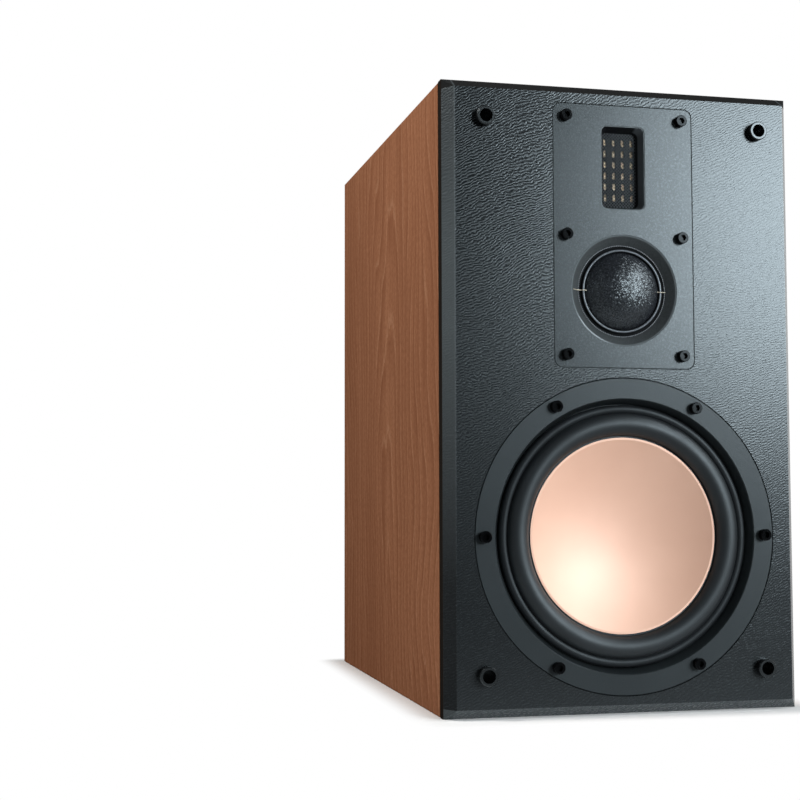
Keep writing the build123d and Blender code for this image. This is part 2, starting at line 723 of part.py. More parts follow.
def tag_strip_bottom():
    return WOOFER_Z - LOWER_TUB - GLUE_GAP - TAG_STRIP


def woofer_tag_strip():
    """Insulating strip under the frame that carries the woofer's two tags."""
    strip = Box(TAG_STRIP_WIDTH, TAG_STRIP_HEIGHT, TAG_STRIP)
    return Pos(0, FRONT + tag_strip_depth(), tag_strip_bottom() + TAG_STRIP / 2) * strip


def connection_tags():
    """Blade pairs of the woofer, the dome and the tweeter."""
    blade = Box(TAG_WIDTH, TAG_LENGTH, TAG_THICKNESS)
    hanging = Box(TAG_WIDTH, TAG_THICKNESS, TAG_LENGTH)
    half = TAG_LENGTH / 2
    tags = []
    for x in (-TAG_SPACING / 2, TAG_SPACING / 2):
        tags.append(Pos(x, FRONT + tag_strip_depth(), tag_strip_bottom() - half) * hanging)
        tags.append(Pos(x, FRONT + CHAMBER_DEPTH + half, MID_Z) * blade)
        tags.append(Pos(x, FRONT + COVER_BACK + half, TWEETER_Z) * blade)
    return tags


def upper_plate():
    """Faceplate with the dome's flared recess and the tweeter's tapered window."""
    outline = RectangleRounded(PLATE_WIDTH, PLATE_HEIGHT, PLATE_CORNER)
    plate = slab(outline, 0, PLATE_THICKNESS)
    plate = chamfer(plate.faces().sort_by(Axis.Y)[0].edges(), PLATE_EDGE)
    plate = Pos(0, 0, PLATE_Z) * plate
    plate += Pos(0, 0, MID_Z) * rod(MID_BODY_RADIUS, PLATE_THICKNESS, RECESS_DEPTH)
    frame = Rectangle(STACK_WIDTH, STACK_HEIGHT)
    plate += Pos(0, 0, TWEETER_Z) * slab(frame, PLATE_THICKNESS, WINDOW_DEPTH)
    plate -= Pos(0, 0, MID_Z) * dome_recess()
    plate -= Pos(0, 0, TWEETER_Z) * tweeter_window()
    for x, z in plate_screw_places():
        plate -= Pos(x, 0, PLATE_Z + z) * screw_hole(0, PLATE_THICKNESS)
    return Pos(0, FRONT, 0) * plate


def dome_recess():
    """Flared opening around the dome, with a broken edge at its mouth."""
    flare = RECESS_FLARE / RECESS_DEPTH
    return turned(
        (0, 0),
        (RECESS_RADIUS, 0),
        (RECESS_RADIUS - PLATE_EDGE * (flare + 1), PLATE_EDGE),
        (RECESS_THROAT, RECESS_DEPTH),
        (0, RECESS_DEPTH),
    )


def tweeter_window():
    """Tapered opening in front of the tweeter's mesh."""
    mouth = RectangleRounded(WINDOW_WIDTH, WINDOW_HEIGHT, WINDOW_CORNER)
    throat = RectangleRounded(MESH_WIDTH, MESH_HEIGHT, WINDOW_CORNER)
    opening = loft([facing(0) * mouth, facing(WINDOW_DEPTH) * throat], ruled=True)
    edge = RectangleRounded(
        WINDOW_WIDTH + 2 * PLATE_EDGE, WINDOW_HEIGHT + 2 * PLATE_EDGE, WINDOW_CORNER + PLATE_EDGE
    )
    return opening + loft([facing(0) * edge, facing(PLATE_EDGE) * mouth], ruled=True)


def plate_gasket():
    """Foam seal under the faceplate."""
    outline = RectangleRounded(
        PLATE_WIDTH - 2 * FIT_GAP, PLATE_HEIGHT - 2 * FIT_GAP, PLATE_CORNER
    )
    seal = at(slab(outline, PLATE_THICKNESS, POCKET), 0, PLATE_Z)
    seal -= driver_openings(PLATE_THICKNESS, POCKET)
    return seal - at_plate_screws(screw_hole(PLATE_THICKNESS, POCKET))


def mid_dome():
    """Coated cloth dome with the skirt that takes the winding."""
    base = RECESS_DEPTH
    inner = DOME_RADIUS - DOME_THICKNESS
    sphere = (DOME_RADIUS**2 + DOME_HEIGHT**2) / (2 * DOME_HEIGHT)
    centre = base - DOME_HEIGHT + sphere
    hollow = sphere - DOME_THICKNESS
    half = DOME_RADIUS / 2

    def outside(radius):
        return centre - math.sqrt(sphere**2 - radius**2)

    def inside(radius):
        return centre - math.sqrt(hollow**2 - radius**2)

    shell = turned_lines(
        ThreePointArc((0, outside(0)), (half, outside(half)), (DOME_RADIUS, base)),
        Line((DOME_RADIUS, base), (DOME_RADIUS, base + DOME_SKIRT)),
        Line((DOME_RADIUS, base + DOME_SKIRT), (inner, base + DOME_SKIRT)),
        Line((inner, base + DOME_SKIRT), (inner, inside(inner))),
        ThreePointArc((inner, inside(inner)), (half, inside(half)), (0, inside(0))),
        Line((0, inside(0)), (0, outside(0))),
    )
    return at(shell, 0, MID_Z)


def mid_surround():
    """Small half roll of cloth, clamped behind the faceplate."""
    level = RECESS_DEPTH
    start = DOME_RADIUS + GLUE_GAP
    middle = start + MID_ROLL_WIDTH / 2
    foot = RECESS_THROAT + MID_CLAMP
    inside = start + MID_CLOTH
    outside = MID_ROLL_OUTER - MID_CLOTH
    crest = level - MID_ROLL_RISE
    roll = turned_lines(
        Line((foot, level + MID_CLOTH), (foot, level)),
        Line((foot, level), (MID_ROLL_OUTER, level)),
        ThreePointArc((MID_ROLL_OUTER, level), (middle, crest), (start, level)),
        Line((start, level), (start, level + MID_CLOTH)),
        Line((start, level + MID_CLOTH), (inside, level + MID_CLOTH)),
        ThreePointArc(
            (inside, level + MID_CLOTH), (middle, crest + MID_CLOTH), (outside, level + MID_CLOTH)
        ),
        Line((outside, level + MID_CLOTH), (foot, level + MID_CLOTH)),
    )
    return at(roll, 0, MID_Z)


def mid_voice_coil():
    """Thin tube inside the dome's skirt with its winding below."""
    inner = MID_SKIRT_INNER - GLUE_GAP - DOME_THICKNESS
    tube = MID_SKIRT_INNER - GLUE_GAP
    middle = MID_PLATE_DEPTH + MID_TOP_PLATE_THICKNESS / 2
    start = middle - MID_COIL_HEIGHT / 2
    end = middle + MID_COIL_HEIGHT / 2
    coil = turned(
        (inner, RECESS_DEPTH + DOME_THICKNESS),
        (tube, RECESS_DEPTH + DOME_THICKNESS),
        (tube, start),
        (MID_COIL_OUTER, start),
        (MID_COIL_OUTER, end),
        (inner, end),
    )
    return at(coil, 0, MID_Z)


def mid_front_ring():
    """Ring that clamps the dome's cloth against the faceplate."""
    clamp = ring(RECESS_THROAT, MID_BODY_RADIUS, MID_RING_DEPTH, MID_PLATE_DEPTH)
    rim = ring(
        RECESS_THROAT + MID_CLAMP + FIT_GAP, MID_BODY_RADIUS, RECESS_DEPTH, MID_RING_DEPTH
    )
    return at(clamp + rim, 0, MID_Z)


def mid_top_plate():
    bore = MID_COIL_OUTER + MID_GAP
    return at(ring(bore, MID_BODY_RADIUS, MID_PLATE_DEPTH, MID_MAGNET_DEPTH), 0, MID_Z)


def mid_magnet():
    bore = MID_BODY_RADIUS - MID_MAGNET_WIDTH
    return at(ring(bore, MID_BODY_RADIUS, MID_MAGNET_DEPTH, MID_YOKE_DEPTH), 0, MID_Z)


def mid_yoke():
    pole = MID_SKIRT_INNER - GLUE_GAP - DOME_THICKNESS - MID_GAP
    body = turned(
        (MID_YOKE_VENT, MID_PLATE_DEPTH),
        (pole, MID_PLATE_DEPTH),
        (pole, MID_YOKE_DEPTH),
        (MID_BODY_RADIUS, MID_YOKE_DEPTH),
        (MID_BODY_RADIUS, MID_BACK_DEPTH),
        (MID_YOKE_VENT, MID_BACK_DEPTH),
    )
    return at(body, 0, MID_Z)


def mid_rear_chamber():
    """Closed cup behind the vented yoke."""
    inner = CHAMBER_RADIUS - CHAMBER_WALL
    floor = CHAMBER_DEPTH - CHAMBER_WALL
    cup = turned(
        (inner, MID_BACK_DEPTH),
        (CHAMBER_RADIUS, MID_BACK_DEPTH),
        (CHAMBER_RADIUS, CHAMBER_DEPTH - CHAMBER_WALL),
        (CHAMBER_RADIUS - CHAMBER_WALL, CHAMBER_DEPTH),
        (0, CHAMBER_DEPTH),
        (0, floor),
        (inner, floor),
    )
    return at(cup, 0, MID_Z)


def even_places(count, pitch):
    """Evenly spaced places about zero."""
    return [(k - (count - 1) / 2) * pitch for k in range(count)]


def tweeter_mesh():
    """Perforated guard behind the window, as one holed sheet."""
    border = 2 * (MESH_PITCH - MESH_HOLE)
    columns = int((MESH_WIDTH - border) / MESH_PITCH)
    rows = int((MESH_HEIGHT - border) / MESH_PITCH)
    hole = Rectangle(MESH_HOLE, MESH_HOLE)
    holes = [
        Pos(x, z, 0) * hole
        for x in even_places(columns, MESH_PITCH)
        for z in even_places(rows, MESH_PITCH)
    ]
    sheet = Rectangle(STACK_WIDTH, STACK_HEIGHT) - holes
    return at(slab(sheet, WINDOW_DEPTH, SLOTTED_DEPTH), 0, TWEETER_Z)


def slotted_plate(near, far):
    """Steel plate with rows of upright slots, for the front or back of the film."""
    slot = Rot(0, 0, 90) * SlotOverall(SLOT_LENGTH, SLOT_WIDTH)
    slots = [
        Pos(x, z, 0) * slot
        for x in even_places(SLOT_COLUMNS, SLOT_PITCH_X)
        for z in even_places(SLOT_ROWS, SLOT_PITCH_Z)
    ]
    sheet = Rectangle(STACK_WIDTH, STACK_HEIGHT) - slots
    return at(slab(sheet, near, far), 0, TWEETER_Z)


def tweeter_magnets():
    """Bar magnets between the slots, on the rear plate behind the film."""
    outline = Rectangle(BAR_WIDTH, SLOT_ROWS * SLOT_PITCH_Z)
    bar = slab(outline, REAR_SLOTTED_DEPTH - BAR_THICKNESS, REAR_SLOTTED_DEPTH)
    return [at(bar, x, TWEETER_Z) for x in even_places(SLOT_COLUMNS + 1, SLOT_PITCH_X)]


def tweeter_spacers():
    """Frames that clamp the film's edge."""
    frame = Rectangle(STACK_WIDTH, STACK_HEIGHT)
    frame -= Rectangle(STACK_WIDTH - 2 * SPACER_BORDER, STACK_HEIGHT - 2 * SPACER_BORDER)
    spans = ((SPACER_DEPTH, FILM_DEPTH), (REAR_SPACER_DEPTH, REAR_SLOTTED_DEPTH))
    return [at(slab(frame, near, far), 0, TWEETER_Z) for near, far in spans]


def tweeter_film():
    sheet = Rectangle(STACK_WIDTH, STACK_HEIGHT)
    return at(slab(sheet, FILM_DEPTH, REAR_SPACER_DEPTH), 0, TWEETER_Z)


def tweeter_traces():
    """Flat conductor that runs up and down behind the slots."""
    columns = even_places(2 * SLOT_COLUMNS, SLOT_PITCH_X / 2)
    length = SLOT_ROWS * SLOT_PITCH_Z
    run = Rectangle(TRACE_WIDTH, length)
    link = Rectangle(SLOT_PITCH_X / 2 + TRACE_WIDTH, TRACE_WIDTH)
    end = (length - TRACE_WIDTH) / 2
    track = Sketch() + [Pos(x, 0, 0) * run for x in columns]
    for k in range(len(columns) - 1):
        middle = (columns[k] + columns[k + 1]) / 2
        track += Pos(middle, end * (1 - 2 * (k % 2)), 0) * link
    strip = slab(track, REAR_SPACER_DEPTH, REAR_SPACER_DEPTH + TRACE_THICKNESS)
    return at(strip, 0, TWEETER_Z)


def tweeter_back_cover():
    """Moulded cover over the back of the tweeter."""
    cover = slab(Rectangle(STACK_WIDTH, STACK_HEIGHT), COVER_START, COVER_BACK)
    cover = chamfer(cover.faces().sort_by(Axis.Y)[-1].edges(), COVER_WALL / 2)
    inside = Rectangle(STACK_WIDTH - 2 * COVER_WALL, STACK_HEIGHT - 2 * COVER_WALL)
    cover -= slab(inside, COVER_START, COVER_BACK - COVER_WALL)
    return at(cover, 0, TWEETER_Z)


def cup_screw_places():
    """Places of the cup's screws from the middle of the cup."""
    x = CUP_WIDTH / 2 + CUP_FLANGE - CUP_SCREW_INSET
    z = CUP_HEIGHT / 2 + CUP_FLANGE - CUP_SCREW_INSET
    return [(i * x, k * z) for i in (-1, 1) for k in (-1, 1)]


def terminal_cup():
    """Recessed dish in the rear panel that carries the binding posts."""
    rim = RectangleRounded(
        CUP_WIDTH + 2 * CUP_FLANGE, CUP_HEIGHT + 2 * CUP_FLANGE, CUP_CORNER + CUP_FLANGE / 2
    )
    outside = RectangleRounded(CUP_WIDTH, CUP_HEIGHT, CUP_CORNER)
    inside = RectangleRounded(
        CUP_WIDTH - 2 * CUP_WALL, CUP_HEIGHT - 2 * CUP_WALL, CUP_CORNER - CUP_WALL
    )
    lip = CABINET_DEPTH + CUP_LIP
    cup = slab(rim, CABINET_DEPTH, lip)
    cup = chamfer(cup.faces().sort_by(Axis.Y)[-1].edges(), CUP_LIP / 3)
    cup += slab(outside, CUP_FLOOR - CUP_WALL, CABINET_DEPTH)
    cup -= slab(inside, CUP_FLOOR, lip)
    for x in POST_X:
        cup -= Pos(x, 0, 0) * rod(BUSH_SPIGOT + THREAD_GAP, CUP_FLOOR - CUP_WALL, CUP_FLOOR)
    for x, z in cup_screw_places():
        cup -= Pos(x, 0, z) * rod(WOOD_SCREW_SHANK + HOLE_GAP, CABINET_DEPTH, lip)
    return at(cup, 0, CUP_Z)


def terminal_screws():
    """Round-headed screws that hold the cup."""
    lip = CABINET_DEPTH + CUP_LIP
    top = lip + WOOD_SCREW_HEAD_HEIGHT
    screw = turned(
        (0, lip + WOOD_SCREW_HEAD_HEIGHT / 2),
        (WOOD_SCREW_SHANK / 2, top),
        (WOOD_SCREW_HEAD - WOOD_SCREW_HEAD_HEIGHT / 2, top),
        (WOOD_SCREW_HEAD, lip + WOOD_SCREW_HEAD_HEIGHT / 2),
        (WOOD_SCREW_HEAD, lip),
        (WOOD_SCREW_SHANK, lip),
        (WOOD_SCREW_SHANK, lip - WOOD_SCREW_LENGTH + WOOD_SCREW_HEAD),
        (0, lip - WOOD_SCREW_LENGTH),
    )
    return [at(screw, x, CUP_Z + z) for x, z in cup_screw_places()]


def at_posts(shape):
    return [at(shape, x, CUP_Z) for x in POST_X]


def post_studs():
    """Threaded studs with a plug bore in the outer end."""
    stud = turned(
        (0, STUD_TAIL_DEPTH),
        (STUD_RADIUS, STUD_TAIL_DEPTH),
        (STUD_RADIUS, STUD_END),
        (PLUG_BORE, STUD_END),
        (PLUG_BORE, STUD_END - PLUG_DEPTH),
        (0, STUD_END - PLUG_DEPTH),
    )
    return at_posts(stud)


def post_bushes():
    """Insulating bushes between the studs and the cup."""
    bore = STUD_RADIUS + THREAD_GAP
    bush = ring(bore, BUSH_RADIUS, CUP_FLOOR, WASHER_DEPTH)
    bush += ring(bore, BUSH_SPIGOT, CUP_FLOOR - CUP_WALL, CUP_FLOOR)
    return at_posts(bush)


def post_nuts():
    """Hex nuts inside the cabinet."""
    far = CUP_FLOOR - CUP_WALL
    near = far - NUT_THICKNESS
    nut = slab(RegularPolygon(NUT_FLATS / 2, 6, major_radius=False), near, far)
    return at_posts(nut - rod(STUD_RADIUS + THREAD_GAP, near, far))


def post_washer(x):
    """Clamp washer that travels with the cap, with a running gap between them."""
    return at(ring(STUD_RADIUS + POST_GAP, WASHER_RADIUS, WASHER_DEPTH, WASHER_END), x, CUP_Z)


def post_cap(x):
    """Fluted cap that screws down on the stud, with a plug hole in its end."""
    end = CAP_DEPTH + CAP_LENGTH
    bore = STUD_RADIUS + POST_GAP
    cap = turned(
        (bore, CAP_DEPTH),
        (CAP_RADIUS - CAP_EDGE, CAP_DEPTH),
        (CAP_RADIUS, CAP_DEPTH + CAP_EDGE),
        (CAP_RADIUS, end - CAP_EDGE),
        (CAP_RADIUS - CAP_EDGE, end),
        (CAP_PLUG_HOLE, end),
        (CAP_PLUG_HOLE, end - CAP_END),
        (bore, end - CAP_END),
    )
    flute = rod(CAP_FLUTE_RADIUS, CAP_DEPTH + CAP_END, end)
    return at(cap - around(flute, CAP_RADIUS, CAP_FLUTES), x, CUP_Z)


def port_tube():
    """Flared reflex tube with its flange on the rear panel."""
    back = CABINET_DEPTH
    start = back - PORT_LENGTH
    bend = back + PORT_LIP - PORT_FLARE_LENGTH
    mouth = PORT_RADIUS + PORT_FLARE
    outer = PORT_RADIUS + PORT_WALL
    neck = mouth + PORT_WALL
    rim = neck + PORT_FLANGE
    lip = back + PORT_LIP
    sag = 1 - math.sqrt(0.5)
    inner_mid = (PORT_RADIUS + PORT_FLARE * sag, bend + PORT_FLARE_LENGTH * math.sqrt(0.5))
    outer_mid = (outer + PORT_FLARE * sag, bend + (back - bend) * math.sqrt(0.5))
    tube = turned_lines(
        Line((PORT_RADIUS, start), (outer, start)),
        Line((outer, start), (outer, bend)),
        ThreePointArc((outer, bend), outer_mid, (neck, back)),
        Line((neck, back), (rim, back)),
        Line((rim, back), (rim - PORT_LIP / 2, lip)),
        Line((rim - PORT_LIP / 2, lip), (mouth, lip)),
        ThreePointArc((mouth, lip), inner_mid, (PORT_RADIUS, bend)),
        Line((PORT_RADIUS, bend), (PORT_RADIUS, start)),
    )
    return at(tube, 0, PORT_Z)


def board_corners():
    x = BOARD_WIDTH / 2 - SUPPORT_INSET
    middle = FRONT + (BOARD_FRONT + BOARD_BACK) / 2
    y = BOARD_LENGTH / 2 - SUPPORT_INSET
    return [(i * x, middle + k * y) for i in (-1, 1) for k in (-1, 1)]


def crossover_board():
    board = Box(BOARD_WIDTH, BOARD_LENGTH, BOARD_THICKNESS)
    middle = FRONT + (BOARD_FRONT + BOARD_BACK) / 2
    board = Pos(0, middle, BOARD_Z + BOARD_THICKNESS / 2) * board
    hole = Cylinder(SUPPORT_NECK + HOLE_GAP, BOARD_THICKNESS)
    for x, y in board_corners():
        board -= Pos(x, y, BOARD_Z + BOARD_THICKNESS / 2) * hole
    return board


def upright(*points):
    """Solid of revolution about the Z axis through (radius, height) points."""
    outline = Plane.XZ * make_face(Polyline(*points, close=True))
    return revolve(outline, Axis.Z)


def crossover_supports():
    """Snap-in pillars that hold the board off the floor of the cabinet."""
    top = SUPPORT_HEIGHT + BOARD_THICKNESS
    pillar = upright(
        (0, 0),
        (SUPPORT_RADIUS, 0),
        (SUPPORT_RADIUS, SUPPORT_HEIGHT),
        (SUPPORT_NECK, SUPPORT_HEIGHT),
        (SUPPORT_NECK, top),
        (SUPPORT_NECK + HOLE_GAP + SUPPORT_CAP / 2, top),
        (SUPPORT_NECK, top + SUPPORT_CAP),
        (0, top + SUPPORT_CAP),
    )
    return [Pos(x, y, WALL) * pillar for x, y in board_corners()]


def crossover_inductors():
    """Wound spools along the left of the board."""
    coils = []
    depth = BOARD_FRONT + PART_SPACE
    for radius, height in COIL_SIZES:
        cheek = height / 8
        waist = radius * 0.9
        bore = radius / 3
        spool = upright(
            (bore, 0),
            (radius, 0),
            (radius, cheek),
            (waist, cheek),
            (waist, height - cheek),
            (radius, height - cheek),
            (radius, height),
            (bore, height),
        )
        x = -WIRE_LANDING - PART_SPACE - COIL_SIZES[0][0]
        coils.append(Pos(x, FRONT + depth + radius, BOARD_TOP) * spool)
        depth += 2 * radius + PART_SPACE
    return coils


def crossover_capacitors():
    """Film capacitors lying across the right of the board."""
    cans = []
    depth = BOARD_FRONT + SUPPORT_INSET * 2
    for radius, length in CAPACITOR_SIZES:
        can = Rot(0, 90, 0) * Cylinder(radius, length)
        can = fillet(can.edges(), radius / 4)
        x = WIRE_LANDING + PART_SPACE + CAPACITOR_SIZES[0][1] / 2
        place = Pos(x, FRONT + depth + radius, BOARD_TOP + radius + GLUE_GAP)
        cans.append(place * can)
        depth += 2 * radius + PART_SPACE
    return cans


def crossover_resistors():
    """Cement resistors along the board's back edge."""
    block = Box(RESISTOR_SIDE, RESISTOR_LENGTH, RESISTOR_SIDE)
    block = chamfer(block.edges().filter_by(Axis.Y), RESISTOR_SIDE / 9)
    y = FRONT + BOARD_BACK - RESISTOR_LENGTH / 2 - SUPPORT_INSET
    z = BOARD_TOP + RESISTOR_SIDE / 2
    places = even_places(RESISTOR_COUNT, RESISTOR_SIDE + PART_SPACE)
    return [Pos(x, y, z) * block for x in places]


def wire(points):
    """Round lead along straight runs with tangent arcs; points are (x, depth, z)."""
    path = [Vector(x, FRONT + depth, z) for x, depth, z in points]
    radii = []
    for before, corner, after in zip(path, path[1:], path[2:]):
        arriving = corner - before
        leaving = after - corner
        shorter = min(arriving.length, leaving.length)
        half_turn = math.radians(arriving.get_angle(leaving)) / 2
        radii.append(0.45 * shorter / math.tan(half_turn))
    route = FilletPolyline(*path, radius=radii)
    start = Plane(route @ 0, z_dir=route % 0)
    return sweep(start * Circle(WIRE_RADIUS), path=route)


def lead_to_board(x, start, bends, landing):
    """Lead that leaves a tag or stud squarely and comes down squarely on the board."""
    down = (x, landing, BOARD_TOP + GLUE_GAP)
    return wire([start, *bends, down])


def wiring_loom():
    """Leads from the posts to the board and from the board to the three drivers."""
    entry = BOARD_FRONT + SUPPORT_INSET
    strip = tag_strip_depth() + TAG_THICKNESS / 2 + GLUE_GAP
    strip_z = tag_strip_bottom() - TAG_LENGTH / 2
    mid_tip = CHAMBER_DEPTH + TAG_LENGTH + GLUE_GAP
    tweeter_tip = COVER_BACK + TAG_LENGTH + GLUE_GAP
    behind = YOKE_DEPTH + YOKE_THICKNESS + WIRE_BEND
    stud = STUD_TAIL_DEPTH - GLUE_GAP
    above = BOARD_TOP + WIRE_BEND
    landings = [entry + k * WIRE_LANDING for k in range(4)]
    leads = []
    for side in (-1, 1):
        x = side * TAG_SPACING / 2
        post = side * POST_SPACING / 2
        bends = [(x, strip + WIRE_BEND, strip_z), (x, landings[0], strip_z - PART_SPACE)]
        leads.append(lead_to_board(x, (x, strip, strip_z), bends, landings[0]))
        bends = [
            (x, behind, MID_Z),
            (x, behind + PART_SPACE, WOOFER_Z + WIRE_BEND),
            (x, landings[1], above + WIRE_BEND),
        ]
        leads.append(lead_to_board(x, (x, mid_tip, MID_Z), bends, landings[1]))
        bends = [
            (x, behind + WIRE_BEND, TWEETER_Z),
            (x, behind + WIRE_BEND + PART_SPACE, WOOFER_Z + WIRE_BEND),
            (x, landings[2], above + WIRE_BEND + PART_SPACE),
        ]
        leads.append(lead_to_board(x, (x, tweeter_tip, TWEETER_Z), bends, landings[2]))
        bends = [(post, stud - WIRE_BEND, CUP_Z), (x, landings[3], above + PART_SPACE)]
        leads.append(lead_to_board(x, (post, stud, CUP_Z), bends, landings[3]))
    return leads


NODES = {
    "left_panel": side_panel(-1),
    "right_panel": side_panel(1),
    "top_panel": level_panel(HEIGHT, HEIGHT - WALL),
    "bottom_panel": level_panel(0, WALL),
    "rear_panel": rear_panel(),
    "front_baffle": front_baffle(),
    "baffle_skin": baffle_skin(),
    "window_brace": window_brace(),
    "damping_wool": damping_wool(),
    "grille_sockets": grille_sockets(),
    "threaded_inserts": threaded_inserts(),
    "woofer_basket": woofer_basket(),
    "woofer_gasket": woofer_gasket(),
    "woofer_screws": at_woofer_screws(cap_screw()),
    "woofer_cone": woofer_cone(),
    "woofer_surround": woofer_surround(),
    "woofer_former": woofer_former(),
    "woofer_voice_coil": woofer_voice_coil(),
    "woofer_spider": woofer_spider(),
    "woofer_top_plate": woofer_top_plate(),
    "woofer_magnet": woofer_magnet(),
    "woofer_yoke": woofer_yoke(),
    "woofer_tag_strip": woofer_tag_strip(),
    "connection_tags": connection_tags(),
    "upper_plate": upper_plate(),
    "plate_gasket": plate_gasket(),
    "plate_screws": at_plate_screws(cap_screw()),
    "mid_dome": mid_dome(),
    "mid_surround": mid_surround(),
    "mid_voice_coil": mid_voice_coil(),
    "mid_front_ring": mid_front_ring(),
    "mid_top_plate": mid_top_plate(),
    "mid_magnet": mid_magnet(),
    "mid_yoke": mid_yoke(),
    "mid_rear_chamber": mid_rear_chamber(),
    "tweeter_mesh": tweeter_mesh(),
    "tweeter_front_plate": slotted_plate(SLOTTED_DEPTH, SPACER_DEPTH),
    "tweeter_rear_plate": slotted_plate(REAR_SLOTTED_DEPTH, COVER_START),
    "tweeter_magnets": tweeter_magnets(),
    "tweeter_spacers": tweeter_spacers(),
    "tweeter_film": tweeter_film(),
    "tweeter_traces": tweeter_traces(),
    "tweeter_back_cover": tweeter_back_cover(),
    "terminal_cup": terminal_cup(),
    "terminal_screws": terminal_screws(),
    "post_studs": post_studs(),
    "post_bushes": post_bushes(),
    "post_nuts": post_nuts(),
    "black_washer": post_washer(POST_X[0]),
    "red_washer": post_washer(POST_X[1]),
    "black_cap": post_cap(POST_X[0]),
    "red_cap": post_cap(POST_X[1]),
    "port_tube": port_tube(),
    "crossover_board": crossover_board(),
    "crossover_supports": crossover_supports(),
    "crossover_inductors": crossover_inductors(),
    "crossover_capacitors": crossover_capacitors(),
    "crossover_resistors": crossover_resistors(),
    "wiring_loom": wiring_loom(),
}

os.makedirs("parts", exist_ok=True)
for name, shape in NODES.items():
    solids = shape if isinstance(shape, list) else [shape]
    group = Compound(children=[part for solid in solids for part in solid.solids()])
    export_step(group, f"parts/{name}.step")
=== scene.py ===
import json
import math
import bpy
import numpy as np
from mathutils import Matrix, Vector, noise

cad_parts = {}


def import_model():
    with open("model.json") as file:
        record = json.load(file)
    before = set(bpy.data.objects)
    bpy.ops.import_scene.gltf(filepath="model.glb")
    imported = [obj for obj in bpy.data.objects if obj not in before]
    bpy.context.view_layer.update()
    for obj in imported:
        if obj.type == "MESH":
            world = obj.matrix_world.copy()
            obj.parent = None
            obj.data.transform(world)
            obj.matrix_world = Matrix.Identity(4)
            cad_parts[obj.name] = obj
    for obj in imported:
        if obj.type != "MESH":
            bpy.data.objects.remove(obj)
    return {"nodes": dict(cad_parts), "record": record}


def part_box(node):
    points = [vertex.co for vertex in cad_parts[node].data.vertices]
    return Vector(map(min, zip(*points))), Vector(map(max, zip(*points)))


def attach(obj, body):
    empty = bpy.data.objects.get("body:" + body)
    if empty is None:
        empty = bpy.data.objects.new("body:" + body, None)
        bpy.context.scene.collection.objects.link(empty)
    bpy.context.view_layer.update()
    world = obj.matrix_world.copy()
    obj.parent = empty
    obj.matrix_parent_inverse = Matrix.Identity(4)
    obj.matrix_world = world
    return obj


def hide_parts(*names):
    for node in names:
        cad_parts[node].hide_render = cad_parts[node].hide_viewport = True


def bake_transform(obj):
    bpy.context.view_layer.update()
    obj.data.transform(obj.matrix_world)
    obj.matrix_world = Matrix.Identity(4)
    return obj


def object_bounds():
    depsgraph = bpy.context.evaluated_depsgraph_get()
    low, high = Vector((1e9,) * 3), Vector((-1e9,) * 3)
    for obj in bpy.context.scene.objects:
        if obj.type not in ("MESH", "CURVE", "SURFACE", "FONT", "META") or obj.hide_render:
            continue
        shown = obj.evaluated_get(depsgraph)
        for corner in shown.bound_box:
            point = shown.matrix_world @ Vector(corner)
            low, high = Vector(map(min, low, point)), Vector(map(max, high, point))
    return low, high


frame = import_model()
cad_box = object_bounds()
nodes = frame["nodes"]

# Looks of a three-way bookshelf speaker. Lengths are in metres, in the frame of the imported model;
# profiles are written in millimetres, as (radius, depth behind the front of the baffle).

MM = 0.001

# Camera: the place and turn of the photograph's view, in the 800 by 800 frame
FRAME_PIXELS = 800
FOCAL_PIXELS = 1466.55
SENSOR = 36.0
CAMERA_PLACE = (-0.3829, -1.1435, 0.1523)
CAMERA_YAW = 0.22625
CAMERA_PITCH = 0.06397
CAMERA_ROLL = -0.00186
NEAR_CLIP = 0.01


def centre_of(node):
    """Middle of a node's box."""
    low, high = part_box(node)
    return (low + high) / 2


# Front plane, driver centres and edges, read from the frame, and the width of the chamfer
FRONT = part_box("woofer_basket")[0].y
WOOFER = centre_of("woofer_cone")
DOME = centre_of("mid_dome")
TWEETER = centre_of("tweeter_film")
SIDE_EDGE = cad_box[1][0]
TOP_EDGE = cad_box[1][2]
CHAMFER = 0.007
BOARD_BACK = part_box("front_baffle")[1].y

# Mesh fineness: steps round the woofer, its spider and the dome, steps from rim to tip and steps on arcs
ROUND_STEPS = 288
SPIDER_STEPS = 144
DOME_STEPS = 192
CONE_RINGS = 60
DOME_RINGS = 40
BEAD_STEPS = 14
ROLL_STEPS = 36
ROLL_BACK_STEPS = 24
WAVE_STEPS = 8
DOME_ROLL_STEPS = 20
DOME_BACK_STEPS = 14

# Woofer surround, cone and spider
SEAT_DEPTH = 9.5
BEAD_OUTER = 91.5
BEAD_CREST = (88.5, 4.5)
ROLL_OUTER = 85.5
ROLL_CREST = (77.55, 0.3)
ROLL_INNER = 69.6
VALLEY_DEPTH = 5.8
LIP_DEPTH = 7.5
LIP_INNER = 67.35
RUBBER = 1.2
CONE_RADIUS = 68.4
DISH_RADIUS = 67.0
DISH_SAG = 17.0
RIM_DEPTH = 6.9
CONE_METAL = 0.6
SPIDER_INNER = 25.35
SPIDER_FIRST = 28.4
SPIDER_LAST = 62.2
SPIDER_FOOT = 70.2
SPIDER_DEPTH = 46.0
SPIDER_CLOTH = 0.8
SPIDER_WAVE = 1.8
SPIDER_WAVES = 5

# Dome, its roll and its lead-outs
DOME_RADIUS = 27.5
DOME_HEIGHT = 12.5
DOME_CLOTH = 0.5
DOME_SKIRT = 2.5
RECESS_DEPTH = 6.0
RECESS_THROAT = 32.2
DOME_ROLL_OUTER = 30.1
DOME_ROLL_INNER = 27.55
DOME_ROLL_RISE = 1.7
DOME_FOOT = 37.7
LEAD_RADIUS = 0.3
TIP_RADIUS = 0.02

